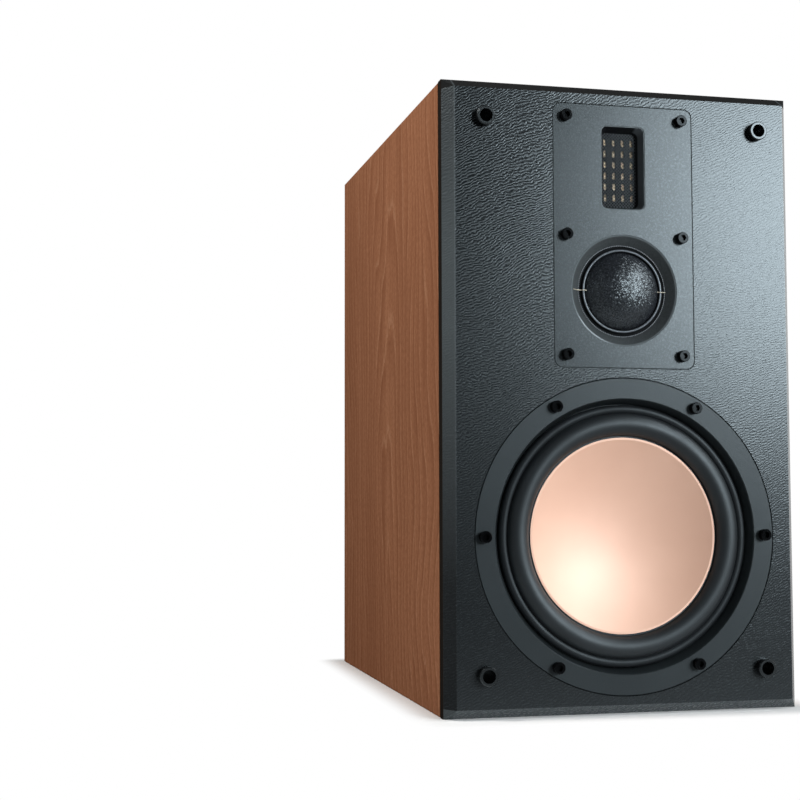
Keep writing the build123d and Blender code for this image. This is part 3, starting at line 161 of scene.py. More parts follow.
# Tweeter guard and film
GUARD_WIDTH = 40.0
GUARD_HEIGHT = 66.8
GUARD_DEPTH = 9.2
GUARD_PITCH = 1.6
GUARD_WIRE = 0.2
FILM_BORDER = 3.0
FILM_PLEAT = 3.325
FILM_WAVE = 0.16
FILM_COLUMNS = 120
FILM_ROWS = 100

# Stitches of the dome's cloth: thinnest bead, its swelling, its place beside the throat and above the cloth
STITCHES = 150
STITCH_STEPS = 6
STITCH_THIN = 0.10
STITCH_SWELL = 0.34
STITCH_ASIDE = 0.1
STITCH_ABOVE = 0.35

# Wadding: mesh step, split between the lower and upper pads as a share of the middle height;
# rounding of the edges, loft and lumps as shares of the half thickness; scales of the lumps
WOOL_STEP = 0.008
WOOL_SPLIT = 1.12
WOOL_ROUND = 0.95
WOOL_LOFT = 0.84
WOOL_LUMPS = 0.11
WOOL_COARSE = 45
WOOL_FINE = 160
WOOL_FINE_SHARE = 0.4

# Veneer: the log's pith, its taper along the grain and the width of a growth ring
PITH_SHIFT = 0.02
PITH_SWAY = 0.15
PITH_RIPPLE = 0.013
LOG_TAPER = 0.115
LOG_CORE = 0.006
RING_WIDTH = 0.0115

# Studio: light from all round on matt surfaces, levels that mirrors see behind the camera and above,
# reach of the shadow on the floor, tints of the lamps
AMBIENT = 0.15
STUDIO = 0.1
CEILING = 0.2
SHADOW_REACH = 0.025
FLOOR_SIZE = 14.0
COOL = (0.94, 0.98, 1.0)
WARM = (1.0, 0.97, 0.93)

# Plain colours, and the cool tint of the sheen on the black and grey finishes
WHITE = (1.0, 1.0, 1.0, 1.0)
BLACK = (0.0, 0.0, 0.0, 1.0)
SHEEN = (0.80, 0.93, 1.0, 1.0)
HALF = (0.5, 0.5, 0.5)


def srgb(red, green, blue):
    """Linear colour of a screen colour given in 0 to 255."""
    def linear(value):
        value /= 255
        return value / 12.92 if value <= 0.04045 else ((value + 0.055) / 1.055) ** 2.4
    return (linear(red), linear(green), linear(blue), 1.0)


class Graph:
    """Shader nodes of a material or a world."""

    def __init__(self, owner, output="OutputMaterial", coordinates="Object"):
        owner.use_nodes = True
        self.owner = owner
        self.tree = owner.node_tree
        self.tree.nodes.clear()
        self.output = self.tree.nodes.new("ShaderNode" + output)
        self.place = self.tree.nodes.new("ShaderNodeTexCoord").outputs[coordinates]

    def add(self, kind, inputs, out=0, **settings):
        """New node with its inputs linked or set; gives one of its outputs."""
        node = self.tree.nodes.new("ShaderNode" + kind)
        for key, value in settings.items():
            setattr(node, key, value)
        for key, value in inputs.items():
            if isinstance(value, bpy.types.NodeSocket):
                self.tree.links.new(value, node.inputs[key])
            else:
                node.inputs[key].default_value = value
        return node.outputs[out]

    def math(self, operation, first, second=0.0, third=0.0):
        return self.add("Math", {0: first, 1: second, 2: third}, operation=operation)

    def axes(self):
        """Coordinates, by the names of their axes."""
        return self.add("SeparateXYZ", {"Vector": self.place}).node.outputs

    def stretched(self, scale, shift=(0.0, 0.0, 0.0)):
        """Coordinates, scaled and then shifted."""
        return self.add("Mapping", {"Vector": self.place, "Location": shift, "Scale": scale})

    def radius(self, centre):
        """Distance from the axis of a driver."""
        centred = self.stretched((1.0, 0.0, 1.0), (-centre.x, 0.0, -centre.z))
        return self.add("VectorMath", {0: centred}, "Value", operation="LENGTH")

    def noise(self, scale, detail=2.0, roughness=0.5, place=None, distortion=0.0):
        inputs = {
            "Vector": place or self.place,
            "Scale": scale,
            "Detail": detail,
            "Roughness": roughness,
            "Distortion": distortion,
        }
        return self.add("TexNoise", inputs)

    def cells(self, scale):
        return self.add("TexVoronoi", {"Vector": self.place, "Scale": scale}, "Distance")

    def spread(self, value, low, high, to_low=0.0, to_high=1.0):
        """Value mapped from one range to another, clamped."""
        inputs = {"Value": value, "From Min": low, "From Max": high}
        inputs.update({"To Min": to_low, "To Max": to_high})
        return self.add("MapRange", inputs)

    def ramp(self, value, *stops):
        """Colour ramp with (position, colour) stops."""
        colour = self.add("ValToRGB", {"Fac": value})
        band = colour.node.color_ramp
        while len(band.elements) < len(stops):
            band.elements.new(0.5)
        for element, (position, tint) in zip(band.elements, stops):
            element.position = position
            element.color = tint
        return colour

    def mix(self, share, first, second):
        return self.add("Mix", {0: share, 6: first, 7: second}, 2, data_type="RGBA")

    def surface(self, shader):
        self.tree.links.new(shader, self.output.inputs["Surface"])

    def bump(self, height, distance, strength=1.0, normal=None):
        inputs = {"Height": height, "Distance": distance, "Strength": strength}
        if normal is not None:
            inputs["Normal"] = normal
        return self.add("Bump", inputs)

    def finish(self, **inputs):
        """Principled shader on the output; underscores in the names stand for spaces."""
        inputs = {key.replace("_", " "): value for key, value in inputs.items()}
        self.surface(self.add("BsdfPrincipled", inputs))
        return self.owner


def material(name):
    return Graph(bpy.data.materials.new(name))


# Materials


def growth_rings(g, axes, along, drawn):
    """Place within a growth ring, from 0 to 1, on a cut near the pith of a tapering log."""
    sway = g.math("SUBTRACT", g.noise(5.0, 2.0, 0.5, drawn(0.5)), 0.5)
    ripple = g.math("SUBTRACT", g.noise(30.0, 3.0, 0.55, drawn(0.3)), 0.5)
    pith = g.math("MULTIPLY_ADD", sway, PITH_SWAY, g.math("ADD", axes["Y"], PITH_SHIFT))
    pith = g.math("MULTIPLY_ADD", ripple, PITH_RIPPLE, pith)
    taper = g.math("MULTIPLY_ADD", axes[along], LOG_TAPER, LOG_CORE)
    ring = g.math("SQRT", g.math("MULTIPLY_ADD", pith, pith, g.math("MULTIPLY", taper, taper)))
    count = g.math("MULTIPLY_ADD", ripple, 0.5, g.math("MULTIPLY", ring, 1 / RING_WIDTH))
    count = g.math("MULTIPLY_ADD", g.noise(42.0, 2.0, 0.5, drawn(0.05)), 1.1, count)
    return g.math("FRACT", count)


def veneer_tones(g, phase, bands, streaks):
    """Tones of the growth rings, with bands of lighter and darker wood and fine hairs."""
    line = srgb(198, 152, 120)
    body = srgb(165, 115, 85)
    early = srgb(165, 116, 87)
    late = srgb(134, 87, 62)
    middle = srgb(147, 100, 73)
    rings = g.ramp(phase, (0.0, line), (0.14, body), (0.5, early), (0.9, late), (0.97, body))
    tones = g.ramp(bands, (0.30, srgb(112, 69, 48)), (0.52, middle), (0.74, srgb(176, 128, 98)))
    hairs = g.ramp(streaks, (0.30, srgb(112, 70, 49)), (0.52, middle), (0.75, srgb(180, 132, 102)))
    return g.mix(0.26, g.mix(0.6, tones, rings), hairs)


def veneer(name, along):
    """Plain-sawn veneer: slender arches of the growth rings, with bands, hairs, flecks and pores, and
    painted shade that darkens it towards the back.
    """
    g = material(name)
    axes = g.axes()

    def drawn(share):
        """Coordinates drawn out along the grain."""
        return g.stretched({"Z": (1.0, 1.0, share), "X": (share, 1.0, 1.0)}[along])

    phase = growth_rings(g, axes, along, drawn)
    bands = g.noise(70.0, 4.0, 0.6, drawn(0.022))
    streaks = g.noise(620.0, 4.0, 0.65, drawn(0.014))
    fibres = g.noise(1900.0, 3.0, 0.6, drawn(0.035))
    clouds = g.spread(g.noise(11.0, 3.0, 0.5, drawn(0.3)), 0.35, 0.65)
    # Darker clouds of wood, plus painted shade that darkens the wood towards the back
    darker = g.math("MULTIPLY_ADD", clouds, 0.22, g.spread(axes["Y"], -0.15, 0.15, 0.0, 0.18))
    flecks = g.spread(g.noise(270.0, 2.0, 0.6), 0.38, 0.62)
    pores = g.spread(fibres, 0.60, 0.74)
    figure = veneer_tones(g, phase, bands, streaks)
    figure = g.mix(darker, figure, srgb(112, 68, 47))
    figure = g.mix(g.math("MULTIPLY", flecks, 0.34), figure, srgb(118, 74, 52))
    figure = g.mix(g.math("MULTIPLY", pores, 0.36), figure, srgb(86, 53, 37))
    relief = g.math("MULTIPLY_ADD", pores, -0.7, g.math("MULTIPLY", streaks, 0.5))
    return g.finish(
        Base_Color=figure,
        Roughness=g.spread(streaks, 0.3, 0.7, 0.58, 0.48),
        Normal=g.bump(relief, 0.0001, 0.5),
        Specular_IOR_Level=0.0,
    )


def vinyl_relief(g, upper_left_share):
    """Two sets of wavy creases that rise to the right, broken up, over a fine pebble."""
    flow = g.add("TexNoise", {"Vector": g.place, "Scale": 16.0, "Detail": 1.0}, "Color")
    flow = g.add("VectorMath", {0: flow, 1: HALF}, operation="SUBTRACT")
    swept = g.add("VectorMath", {0: flow, 1: (0.02, 0.02, 0.02), 2: g.place}, operation="MULTIPLY_ADD")

    def creases(rise, scale):
        place = g.add("Mapping", {"Vector": swept, "Rotation": (0.0, math.radians(rise), 0.0)})
        inputs = {"Vector": place, "Scale": scale, "Distortion": 6.0, "Detail": 1.0}
        inputs.update({"Detail Scale": 1.5, "Detail Roughness": 0.5})
        return g.add("TexWave", inputs, "Fac", bands_direction="Z")

    folds = g.math("MULTIPLY_ADD", creases(2, 178.0), 0.5, creases(26, 164.0))
    folds = g.math("SUBTRACT", folds, 0.75)
    folds = g.math("MULTIPLY", folds, g.spread(g.noise(230.0, 1.0), 0.38, 0.62, 0.65, 1.05))
    pebble = g.noise(1300.0, 2.0)
    vigour = g.spread(upper_left_share, 0.0, 1.0, 0.7, 1.0)
    return g.math("MULTIPLY_ADD", folds, vigour, g.math("MULTIPLY_ADD", pebble, 0.12, 0.62))


def vinyl_edges(g, axes):
    """Shares of the flush side, the upper chamfer with a flat grey painted in place of its sheen, the bevels
    painted lighter as lit, the dull places and a painted highlight along the arris.
    """
    across = g.math("ABSOLUTE", axes["X"])
    arris = SIDE_EDGE - CHAMFER
    ledge = TOP_EDGE - CHAMFER
    side = g.spread(across, SIDE_EDGE - 0.0004, SIDE_EDGE - 0.0001)
    over = g.spread(axes["Z"], ledge - 0.0001, ledge + 0.0002)
    flank = g.spread(across, arris - 0.0001, arris + 0.0002)
    foot = g.spread(axes["Z"], CHAMFER - 0.0002, CHAMFER + 0.0001, 1.0, 0.0)
    # Painted light on the side chamfers: strongest at mid height, fading towards the bottom and weaker near
    # the top
    lower = g.spread(axes["Z"], 0.09, 0.27)
    upper = g.spread(axes["Z"], 0.32, 0.43, 1.0, 0.4)
    painted_light_bevel = g.math("MAXIMUM", g.math("MULTIPLY", flank, g.math("MULTIPLY", lower, upper)), foot)
    dull = g.math("MULTIPLY", flank, g.spread(lower, 0.0, 1.0, 0.7, 0.4))
    dull = g.math("MAXIMUM", dull, g.math("MAXIMUM", side, over))
    crest = g.math("ABSOLUTE", g.math("SUBTRACT", across, arris))
    crest = g.math("MULTIPLY", lower, g.spread(crest, 0.0001, 0.0007, 0.25, 0.0))
    return side, over, painted_light_bevel, dull, crest


def leatherette():
    """Black leather-grained vinyl, its grain deeper at the upper left, with painted shade in its creases and
    duller chamfers with painted light.
    """
    g = material("leatherette")
    axes = g.axes()
    upper_left_share = g.math("MULTIPLY", g.spread(axes["X"], -0.07, 0.05, 1.0, 0.0), g.spread(axes["Z"], 0.12, 0.36))
    relief = vinyl_relief(g, upper_left_share)
    side, over, painted_light_bevel, dull, crest = vinyl_edges(g, axes)
    height = g.spread(relief, 0.3, 1.4)
    # At the upper left, reflection is cut in the creases and raised on the ridges: painted shade and painted
    # highlight of the grain
    glint = g.math("MULTIPLY_ADD", upper_left_share, g.spread(height, 0.1, 0.6, -0.65, 0.6), 1.0)
    # Darker in the creases and paler on the ridges: painted shade of the grain
    tone = g.ramp(height, (0.2, srgb(4, 5, 6)), (0.5, srgb(13, 15, 17)), (0.85, srgb(31, 35, 37)))
    # Painted light on the bevels and a painted highlight along the arris; the upper chamfer gets a flat grey
    # painted in place of its sheen
    tone = g.mix(g.math("MULTIPLY", painted_light_bevel, 0.6), tone, srgb(84, 92, 95))
    tone = g.mix(g.math("MULTIPLY", over, 0.8), tone, srgb(36, 36, 36))
    tone = g.mix(crest, tone, srgb(120, 128, 132))
    tone = g.mix(side, tone, srgb(34, 30, 27))
    return g.finish(
        Base_Color=tone,
        Roughness=g.spread(relief, 0.3, 1.4, 0.28, 0.24),
        Normal=g.bump(relief, 0.00016, 0.26),
        Specular_IOR_Level=g.math("MULTIPLY", glint, g.spread(dull, 0.0, 1.0, 0.57, 0.0)),
        Specular_Tint=SHEEN,
    )


def painted_board():
    """Fibreboard, painted black except at its back."""
    g = material("painted_board")
    fine = g.noise(1250.0, 3.0, 0.6)
    depth = g.axes()["Y"]
    raw = g.spread(depth, BOARD_BACK - 0.0002, BOARD_BACK - 0.0001)
    paint = g.ramp(fine, (0.3, srgb(14, 15, 16)), (0.7, srgb(22, 23, 24)))
    board = g.ramp(fine, (0.3, srgb(160, 128, 92)), (0.7, srgb(186, 154, 116)))
    return g.finish(
        Base_Color=g.mix(raw, paint, board),
        Roughness=g.spread(fine, 0.3, 0.7, 0.91, 0.8),
        Normal=g.bump(fine, 0.0001, 0.5),
        Specular_IOR_Level=0.1,
    )


def plate_grey():
    """Satin grey coating with a fine speckle and a painted highlight on its front edges, darker down the
    recess, with painted shade on the window walls and painted light on the window's right wall.
    """
    g = material("plate_grey")
    speckle = g.noise(640.0, 3.0, 0.7)
    cloud = g.noise(22.0, 3.0)
    axes = g.axes()
    depth = axes["Y"]
    # Painted highlight on the edges just behind the front face
    edge = g.spread(depth, FRONT + 0.00003, FRONT + 0.0001)
    inside = g.spread(depth, FRONT + 0.0005, FRONT + 0.0007)
    face = g.ramp(speckle, (0.34, srgb(17, 20, 21)), (0.5, srgb(32, 37, 39)), (0.66, srgb(58, 64, 67)))
    face = g.mix(g.math("MULTIPLY", cloud, 0.25), face, srgb(44, 50, 53))
    face = g.mix(edge, face, srgb(84, 91, 94))
    walls = g.ramp(speckle, (0.3, srgb(50, 54, 56)), (0.7, srgb(62, 66, 68)))
    # Painted shade on the window walls, with a strip of the right wall painted lighter as lit
    window = g.spread(axes["Z"], TWEETER.z - 0.045, TWEETER.z - 0.040)
    right = g.spread(axes["X"], TWEETER.x + 0.009, TWEETER.x + 0.011)
    right = g.math("MULTIPLY", right, g.spread(depth, FRONT + 0.0066, FRONT + 0.0074, 1.0, 0.0))
    walls = g.mix(window, walls, g.mix(right, srgb(23, 25, 27), srgb(70, 75, 79)))
    return g.finish(
        Base_Color=g.mix(inside, face, walls),
        Roughness=g.spread(speckle, 0.3, 0.7, 0.28, 0.22),
        Normal=g.bump(speckle, 0.00004, 0.3),
        Specular_IOR_Level=g.spread(inside, 0.0, 1.0, 0.45, 0.06),
        Specular_Tint=SHEEN,
    )


def coated(name, low, high, grain, roughness, relief=0.04, metallic=0.0, specular=0.5):
    """Coating, moulding or plating between two screen colours, with grain and relief in millimetres."""
    g = material(name)
    fine = g.noise(1 / (grain * MM), 3.0, 0.6)
    broad = g.noise(30.0, 2.0)
    share = g.math("MULTIPLY_ADD", broad, 0.35, g.math("MULTIPLY", fine, 0.65))
    return g.finish(
        Base_Color=g.ramp(share, (0.3, srgb(*low)), (0.7, srgb(*high))),
        Metallic=metallic,
        Roughness=g.spread(fine, 0.3, 0.7, roughness + 0.06, roughness - 0.05),
        Normal=g.bump(fine, relief * MM, 0.5),
        Specular_IOR_Level=specular,
        Specular_Tint=WHITE if metallic else SHEEN,
    )


def surround_rubber():
    """Satin rubber with a faint bloom and moulding marks, duller on the outer bead."""
    g = material("surround_rubber")
    bead = g.spread(g.radius(WOOFER), (ROLL_OUTER - 0.5) * MM, (ROLL_OUTER + 0.5) * MM)
    bloom = g.noise(45.0, 4.0, 0.6)
    skin = g.noise(1400.0, 2.0)
    tone = g.ramp(bloom, (0.3, srgb(16, 18, 20)), (0.7, srgb(23, 26, 29)))
    return g.finish(
        Base_Color=tone,
        Roughness=g.spread(bloom, 0.3, 0.7, 0.54, 0.46),
        Normal=g.bump(skin, 0.00003, 0.4),
        Specular_IOR_Level=g.spread(bead, 0.0, 1.0, 0.58, 0.34),
        Specular_Tint=SHEEN,
    )


def cone_copper():
    """Anodised metal with a soft satin sheen."""
    g = material("cone_copper")
    haze = g.noise(18.0, 3.0)
    satin = g.noise(2400.0, 2.0)
    tone = g.ramp(haze, (0.3, srgb(217, 173, 149)), (0.7, srgb(224, 181, 157)))
    return g.finish(
        Base_Color=tone,
        Metallic=0.3,
        Roughness=g.spread(haze, 0.3, 0.7, 0.62, 0.56),
        Normal=g.bump(satin, 0.00001, 0.15),
        Specular_IOR_Level=0.3,
        Coat_Weight=1.0,
        Coat_Roughness=0.5,
        Coat_IOR=1.7,
    )


def tilted(g, scale, amount):
    """Surface normal with a random tilt for every small cell."""
    cells = g.add("TexVoronoi", {"Vector": g.place, "Scale": scale}, "Color")
    tilt = g.add("VectorMath", {0: cells, 1: HALF}, operation="SUBTRACT")
    tilt = g.add("VectorMath", {0: tilt, "Scale": amount}, operation="SCALE")
    flat = g.add("NewGeometry", {}, "Normal")
    turned = g.add("VectorMath", {0: flat, 1: tilt}, operation="ADD")
    return g.add("VectorMath", {0: turned}, operation="NORMALIZE")


def dome_cloth():
    """Black woven silk under a lumpy damping coat that glints."""
    g = material("dome_cloth")
    lumps = g.noise(1000.0, 2.0, 0.55)
    tone = g.ramp(lumps, (0.35, srgb(13, 14, 17)), (0.7, srgb(38, 41, 47)))
    return g.finish(
        Base_Color=tone,
        Roughness=g.spread(lumps, 0.3, 0.7, 0.34, 0.24),
        Normal=g.bump(lumps, 0.0004, 0.5, tilted(g, 1500.0, 0.48)),
        Specular_IOR_Level=0.8,
        Specular_Tint=SHEEN,
    )


def dome_roll_coat_painted_highlight():
    """Glossy crest of the roll beside the dome with a painted highlight along it, dull dark cloth outside
    it.
    """
    g = material("dome_roll_coat_painted_highlight")
    middle = (DOME_ROLL_INNER + DOME_ROLL_OUTER) / 2 * MM
    aside = g.math("ABSOLUTE", g.math("SUBTRACT", g.radius(DOME), middle))
    crest = g.spread(aside, 0.0003, 0.0009, 1.0, 0.0)
    grain = g.noise(1500.0, 3.0)
    # Paler colour along the crest: painted highlight
    coat = g.ramp(grain, (0.3, srgb(66, 70, 76)), (0.7, srgb(92, 97, 104)))
    cloth = g.ramp(grain, (0.3, srgb(5, 6, 7)), (0.7, srgb(14, 15, 17)))
    return g.finish(
        Base_Color=g.mix(crest, cloth, coat),
        Roughness=g.spread(crest, 0.0, 1.0, 0.75, 0.26),
        Normal=g.bump(grain, 0.00003, 0.4),
        Specular_IOR_Level=g.spread(crest, 0.0, 1.0, 0.1, 0.5),
        Specular_Tint=SHEEN,
    )


def woven(name, low, high, threads, roughness):
    """Plain-woven cloth, threads per metre."""
    g = material(name)
    thread = {"Vector": g.place, "Scale": threads, "Distortion": 0.6}
    warp = g.add("TexWave", thread, bands_direction="X")
    weft = g.add("TexWave", thread, bands_direction="Z")
    weave = g.math("MAXIMUM", warp, weft)
    return g.finish(
        Base_Color=g.ramp(weave, (0.2, low), (0.9, high)),
        Roughness=g.spread(weave, 0.0, 1.0, roughness + 0.08, roughness - 0.04),
        Normal=g.bump(weave, 0.0001, 0.6),
        Sheen_Weight=0.25,
    )


def wool():
    """Grey-white polyester wadding, matted fibres."""
    g = material("wool")
    fibres = g.noise(900.0, 6.0, 0.7, g.stretched((1.0, 0.25, 1.0)), 1.5)
    clumps = g.noise(70.0, 3.0)
    share = g.math("MULTIPLY_ADD", clumps, 0.5, g.math("MULTIPLY", fibres, 0.5))
    tone = g.ramp(share, (0.3, srgb(160, 160, 156)), (0.7, srgb(226, 226, 220)))
    return g.finish(Base_Color=tone, Roughness=0.95, Normal=g.bump(fibres, 0.0009, 0.7), Sheen_Weight=0.4)


def film_amber():
    """Thin amber film with a metallised face."""
    g = material("film_amber")
    crinkle = g.noise(260.0, 3.0, 0.6, g.stretched((1.0, 1.0, 0.4)))
    tone = g.ramp(crinkle, (0.3, srgb(192, 168, 138)), (0.7, srgb(216, 198, 170)))
    return g.finish(
        Base_Color=tone,
        Metallic=0.75,
        Roughness=g.spread(crinkle, 0.3, 0.7, 0.46, 0.32),
        Normal=g.bump(crinkle, 0.0001, 0.5),
    )


def wound(name, low, high, turns_per_metre):
    """Wire wound side by side along the depth or the height."""
    g = material(name)
    inputs = {"Vector": g.place, "Scale": turns_per_metre, "Distortion": 0.3}
    lines = g.add("TexWave", inputs, bands_direction="DIAGONAL")
    return g.finish(
        Base_Color=g.ramp(lines, (0.1, low), (0.8, high)),
        Metallic=0.85,
        Roughness=g.spread(lines, 0.0, 1.0, 0.45, 0.28),
        Normal=g.bump(lines, 0.0003, 0.6),
    )


def board_green():
    """Circuit board with a faint glass weave under the mask."""
    g = material("board_green")
    glass = g.cells(900.0)
    tone = g.ramp(g.math("ADD", glass, g.noise(40.0)), (0.4, srgb(24, 66, 42)), (1.0, srgb(38, 92, 60)))
    rough = g.spread(glass, 0.0, 0.6, 0.42, 0.3)
    return g.finish(Base_Color=tone, Roughness=rough, Normal=g.bump(glass, 0.00003, 0.4))


MATERIALS = {
    "veneer": veneer("veneer", "Z"),
    "leatherette": leatherette(),
    "plate_grey": plate_grey(),
    "surround_rubber": surround_rubber(),
    "cone_copper": cone_copper(),
    "dome_cloth": dome_cloth(),
    "film_amber": film_amber(),
    "copper_wire": wound("copper_wire", srgb(120, 60, 30), srgb(214, 126, 78), 320.0),
    "spider_cloth": woven("spider_cloth", srgb(150, 122, 66), srgb(204, 174, 104), 700.0, 0.8),
    "wool": wool(),
    "board_green": board_green(),
}
LEVEL_VENEER = veneer("veneer_level", "X")


def coat(name, low, high, **look):
    """Coating entered under its name."""
    MATERIALS[name] = coated(name, low, high, **look)


coat("rear_laminate", (26, 26, 27), (36, 36, 37), grain=0.5, roughness=0.52, relief=0.06)
coat("fibreboard", (160, 128, 92), (186, 154, 116), grain=0.8, roughness=0.85, relief=0.1)
coat("frame_black", (22, 26, 28), (34, 39, 41), grain=0.45, roughness=0.36, relief=0.08, specular=0.38)
coat("screw_black", (2, 2, 3), (5, 5, 6), grain=0.6, roughness=0.16, relief=0.01, specular=0.12)
coat("socket_plastic", (7, 8, 9), (12, 13, 14), grain=0.5, roughness=0.24, relief=0.02, specular=0.62)
coat("mesh_black", (54, 58, 61), (80, 84, 88), grain=0.4, roughness=0.40, relief=0.01, specular=0.25)
coat("steel", (142, 146, 150), (178, 181, 184), grain=0.7, roughness=0.34, relief=0.02, metallic=1.0)
coat("ferrite", (40, 40, 42), (62, 62, 64), grain=0.5, roughness=0.6, relief=0.08)
coat("magnet_nickel", (168, 166, 160), (196, 193, 186), grain=0.6, roughness=0.3, relief=0.02, metallic=1.0)
coat("trace_gold", (222, 190, 128), (244, 220, 168), grain=0.3, roughness=0.3, relief=0.01, metallic=0.9)
coat("former_foil", (176, 178, 182), (208, 210, 212), grain=0.6, roughness=0.28, relief=0.02, metallic=1.0)
coat("foam_black", (20, 20, 21), (36, 36, 37), grain=0.9, roughness=0.9, relief=0.3)
coat("brass_gold", (206, 164, 82), (236, 200, 120), grain=0.5, roughness=0.24, relief=0.01, metallic=1.0)
coat("cap_red", (138, 14, 16), (168, 22, 22), grain=0.7, roughness=0.34, relief=0.02)
coat("cap_black", (18, 18, 19), (28, 28, 29), grain=0.7, roughness=0.36, relief=0.02)
coat("capacitor_yellow", (196, 150, 38), (226, 184, 70), grain=0.9, roughness=0.38, relief=0.03)
coat("resistor_cement", (196, 194, 186), (222, 220, 212), grain=0.5, roughness=0.9, relief=0.15)
coat("wire_black", (16, 16, 17), (26, 26, 27), grain=0.6, roughness=0.5, relief=0.02)


# Mesh helpers


def arc(start, through, end, steps):
    """Points on the circle through three points, from the first to the last."""
    (ax, ay), (bx, by), (cx, cy) = start, through, end
    twice = 2 * (ax * (by - cy) + bx * (cy - ay) + cx * (ay - by))
    a2, b2, c2 = ax * ax + ay * ay, bx * bx + by * by, cx * cx + cy * cy
    ox = (a2 * (by - cy) + b2 * (cy - ay) + c2 * (ay - by)) / twice
    oy = (a2 * (cx - bx) + b2 * (ax - cx) + c2 * (bx - ax)) / twice
    radius = math.hypot(ax - ox, ay - oy)
    first = math.atan2(ay - oy, ax - ox)
    middle = (math.atan2(by - oy, bx - ox) - first) % (2 * math.pi)
    turn = (math.atan2(cy - oy, cx - ox) - first) % (2 * math.pi)
    if middle > turn:
        turn -= 2 * math.pi
    angles = [first + turn * k / steps for k in range(steps + 1)]
    return [(ox + radius * math.cos(a), oy + radius * math.sin(a)) for a in angles]


def new_piece(name, points, faces, slot, sharp=35.0):
    """Smooth-shaded mesh object with the material of a slot."""
    mesh = bpy.data.meshes.new(name)
    mesh.from_pydata([tuple(p) for p in points], [], faces)
    mesh.validate()
    mesh.shade_smooth()
    mesh.set_sharp_from_angle(angle=math.radians(sharp))
    piece = bpy.data.objects.new(name, mesh)
    bpy.context.scene.collection.objects.link(piece)
    mesh.materials.append(MATERIALS[slot])
    return piece


def ring_faces(rings, count, first=0, closed=False):
    """Faces between neighbouring rings of points; closed joins the last ring to the first."""
    faces = []
    for k in range(rings if closed else rings - 1):
        here = first + k * count
        there = first + (k + 1) % rings * count
        for i in range(count):
            j = (i + 1) % count
            faces.append((here + i, there + i, there + j, here + j))
    return faces


def rod_faces(rings, count, first=0):
    """Faces of a rod of rings, closed at both ends."""
    last = first + (rings - 1) * count
    ends = [tuple(range(first, first + count)), tuple(range(last + count - 1, last - 1, -1))]
    return ring_faces(rings, count, first) + ends


def lathe(name, profile, centre, slot, steps=ROUND_STEPS, sharp=35.0):
    """Closed ring turned about the driver's axis from a closed profile of (radius, depth)."""
    points = []
    for k in range(steps):
        angle = 2 * math.pi * k / steps
        for radius, depth in profile:
            x = centre.x + radius * MM * math.cos(angle)
            z = centre.z + radius * MM * math.sin(angle)
            points.append((x, FRONT + depth * MM, z))
    faces = ring_faces(steps, len(profile), closed=True)
    return new_piece(name, points, faces, slot, sharp)


def distinct(points):
    """Profile without repeated neighbours."""
    kept = []
    for point in points:
        if not kept or math.dist(point, kept[-1]) > 1e-6:
            kept.append(point)
    if math.dist(kept[0], kept[-1]) < 1e-6:
        kept.pop()
    return kept


def blend_round(piece):
    """Piece with its placement baked into its mesh."""
    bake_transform(piece)


# Pieces


def woofer_surround():
    """Moulded half roll with the bead that seats it in the frame."""
    valley = (ROLL_OUTER, VALLEY_DEPTH)
    top = [(BEAD_OUTER, SEAT_DEPTH)]
    top += arc((BEAD_OUTER, VALLEY_DEPTH + RUBBER), BEAD_CREST, valley, BEAD_STEPS)
    top += arc(valley, ROLL_CREST, (ROLL_INNER, LIP_DEPTH), ROLL_STEPS)
    top += [(LIP_INNER, LIP_DEPTH), (LIP_INNER, LIP_DEPTH + RUBBER)]
    back = arc(
        (ROLL_INNER + RUBBER, LIP_DEPTH + RUBBER),
        (ROLL_CREST[0], ROLL_CREST[1] + RUBBER),
        (ROLL_OUTER - RUBBER, VALLEY_DEPTH + RUBBER),
        ROLL_BACK_STEPS,
    )
    back.append((ROLL_OUTER - RUBBER, SEAT_DEPTH))
    piece = lathe("surround_roll", distinct(top + back), WOOFER, "surround_rubber", sharp=50.0)
    blend_round(piece)
    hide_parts("woofer_surround")


def woofer_spider():
    """Corrugated centring disc of impregnated cloth."""
    pitch = (SPIDER_LAST - SPIDER_FIRST) / (2 * SPIDER_WAVES)
    sheets = []
    for level in (SPIDER_DEPTH - SPIDER_CLOTH, SPIDER_DEPTH):
        sheet = [(SPIDER_INNER, level)]
        for k in range(2 * SPIDER_WAVES):
            near = SPIDER_FIRST + k * pitch
            lift = SPIDER_WAVE * (1 - 2 * (k % 2))
            crest = (near + pitch / 2, level - lift)
            sheet += arc((near, level), crest, (near + pitch, level), WAVE_STEPS)
        sheet.append((SPIDER_FOOT, level))
        sheets.append(sheet)
    profile = distinct(sheets[0] + sheets[1][::-1])
    piece = lathe("spider_disc", profile, WOOFER, "spider_cloth", SPIDER_STEPS, sharp=60.0)
    blend_round(piece)
    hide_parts("woofer_spider")


def woofer_cone():
    """One-piece concave metal diaphragm with a flat rim, turned finely for an even sheen."""
    sphere = (DISH_RADIUS**2 + DISH_SAG**2) / (2 * DISH_SAG)
    centre = RIM_DEPTH + DISH_SAG - sphere
    back = RIM_DEPTH + CONE_METAL
    steps = CONE_RINGS
    tip = TIP_RADIUS

    def shell(radius, behind):
        return radius, centre + math.sqrt((sphere + behind) ** 2 - radius**2)

    reach = math.sqrt((sphere + CONE_METAL) ** 2 - (back - centre) ** 2)
    profile = [(CONE_RADIUS, RIM_DEPTH)]
    profile += [shell(DISH_RADIUS + (tip - DISH_RADIUS) * k / steps, 0) for k in range(steps + 1)]
    profile += [shell(tip + (reach - tip) * k / steps, CONE_METAL) for k in range(steps + 1)]
    profile.append((CONE_RADIUS, back))
    piece = lathe("cone_dish", distinct(profile), WOOFER, "cone_copper", sharp=12.0)
    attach(piece, "woofer_diaphragm")
    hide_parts("woofer_cone")


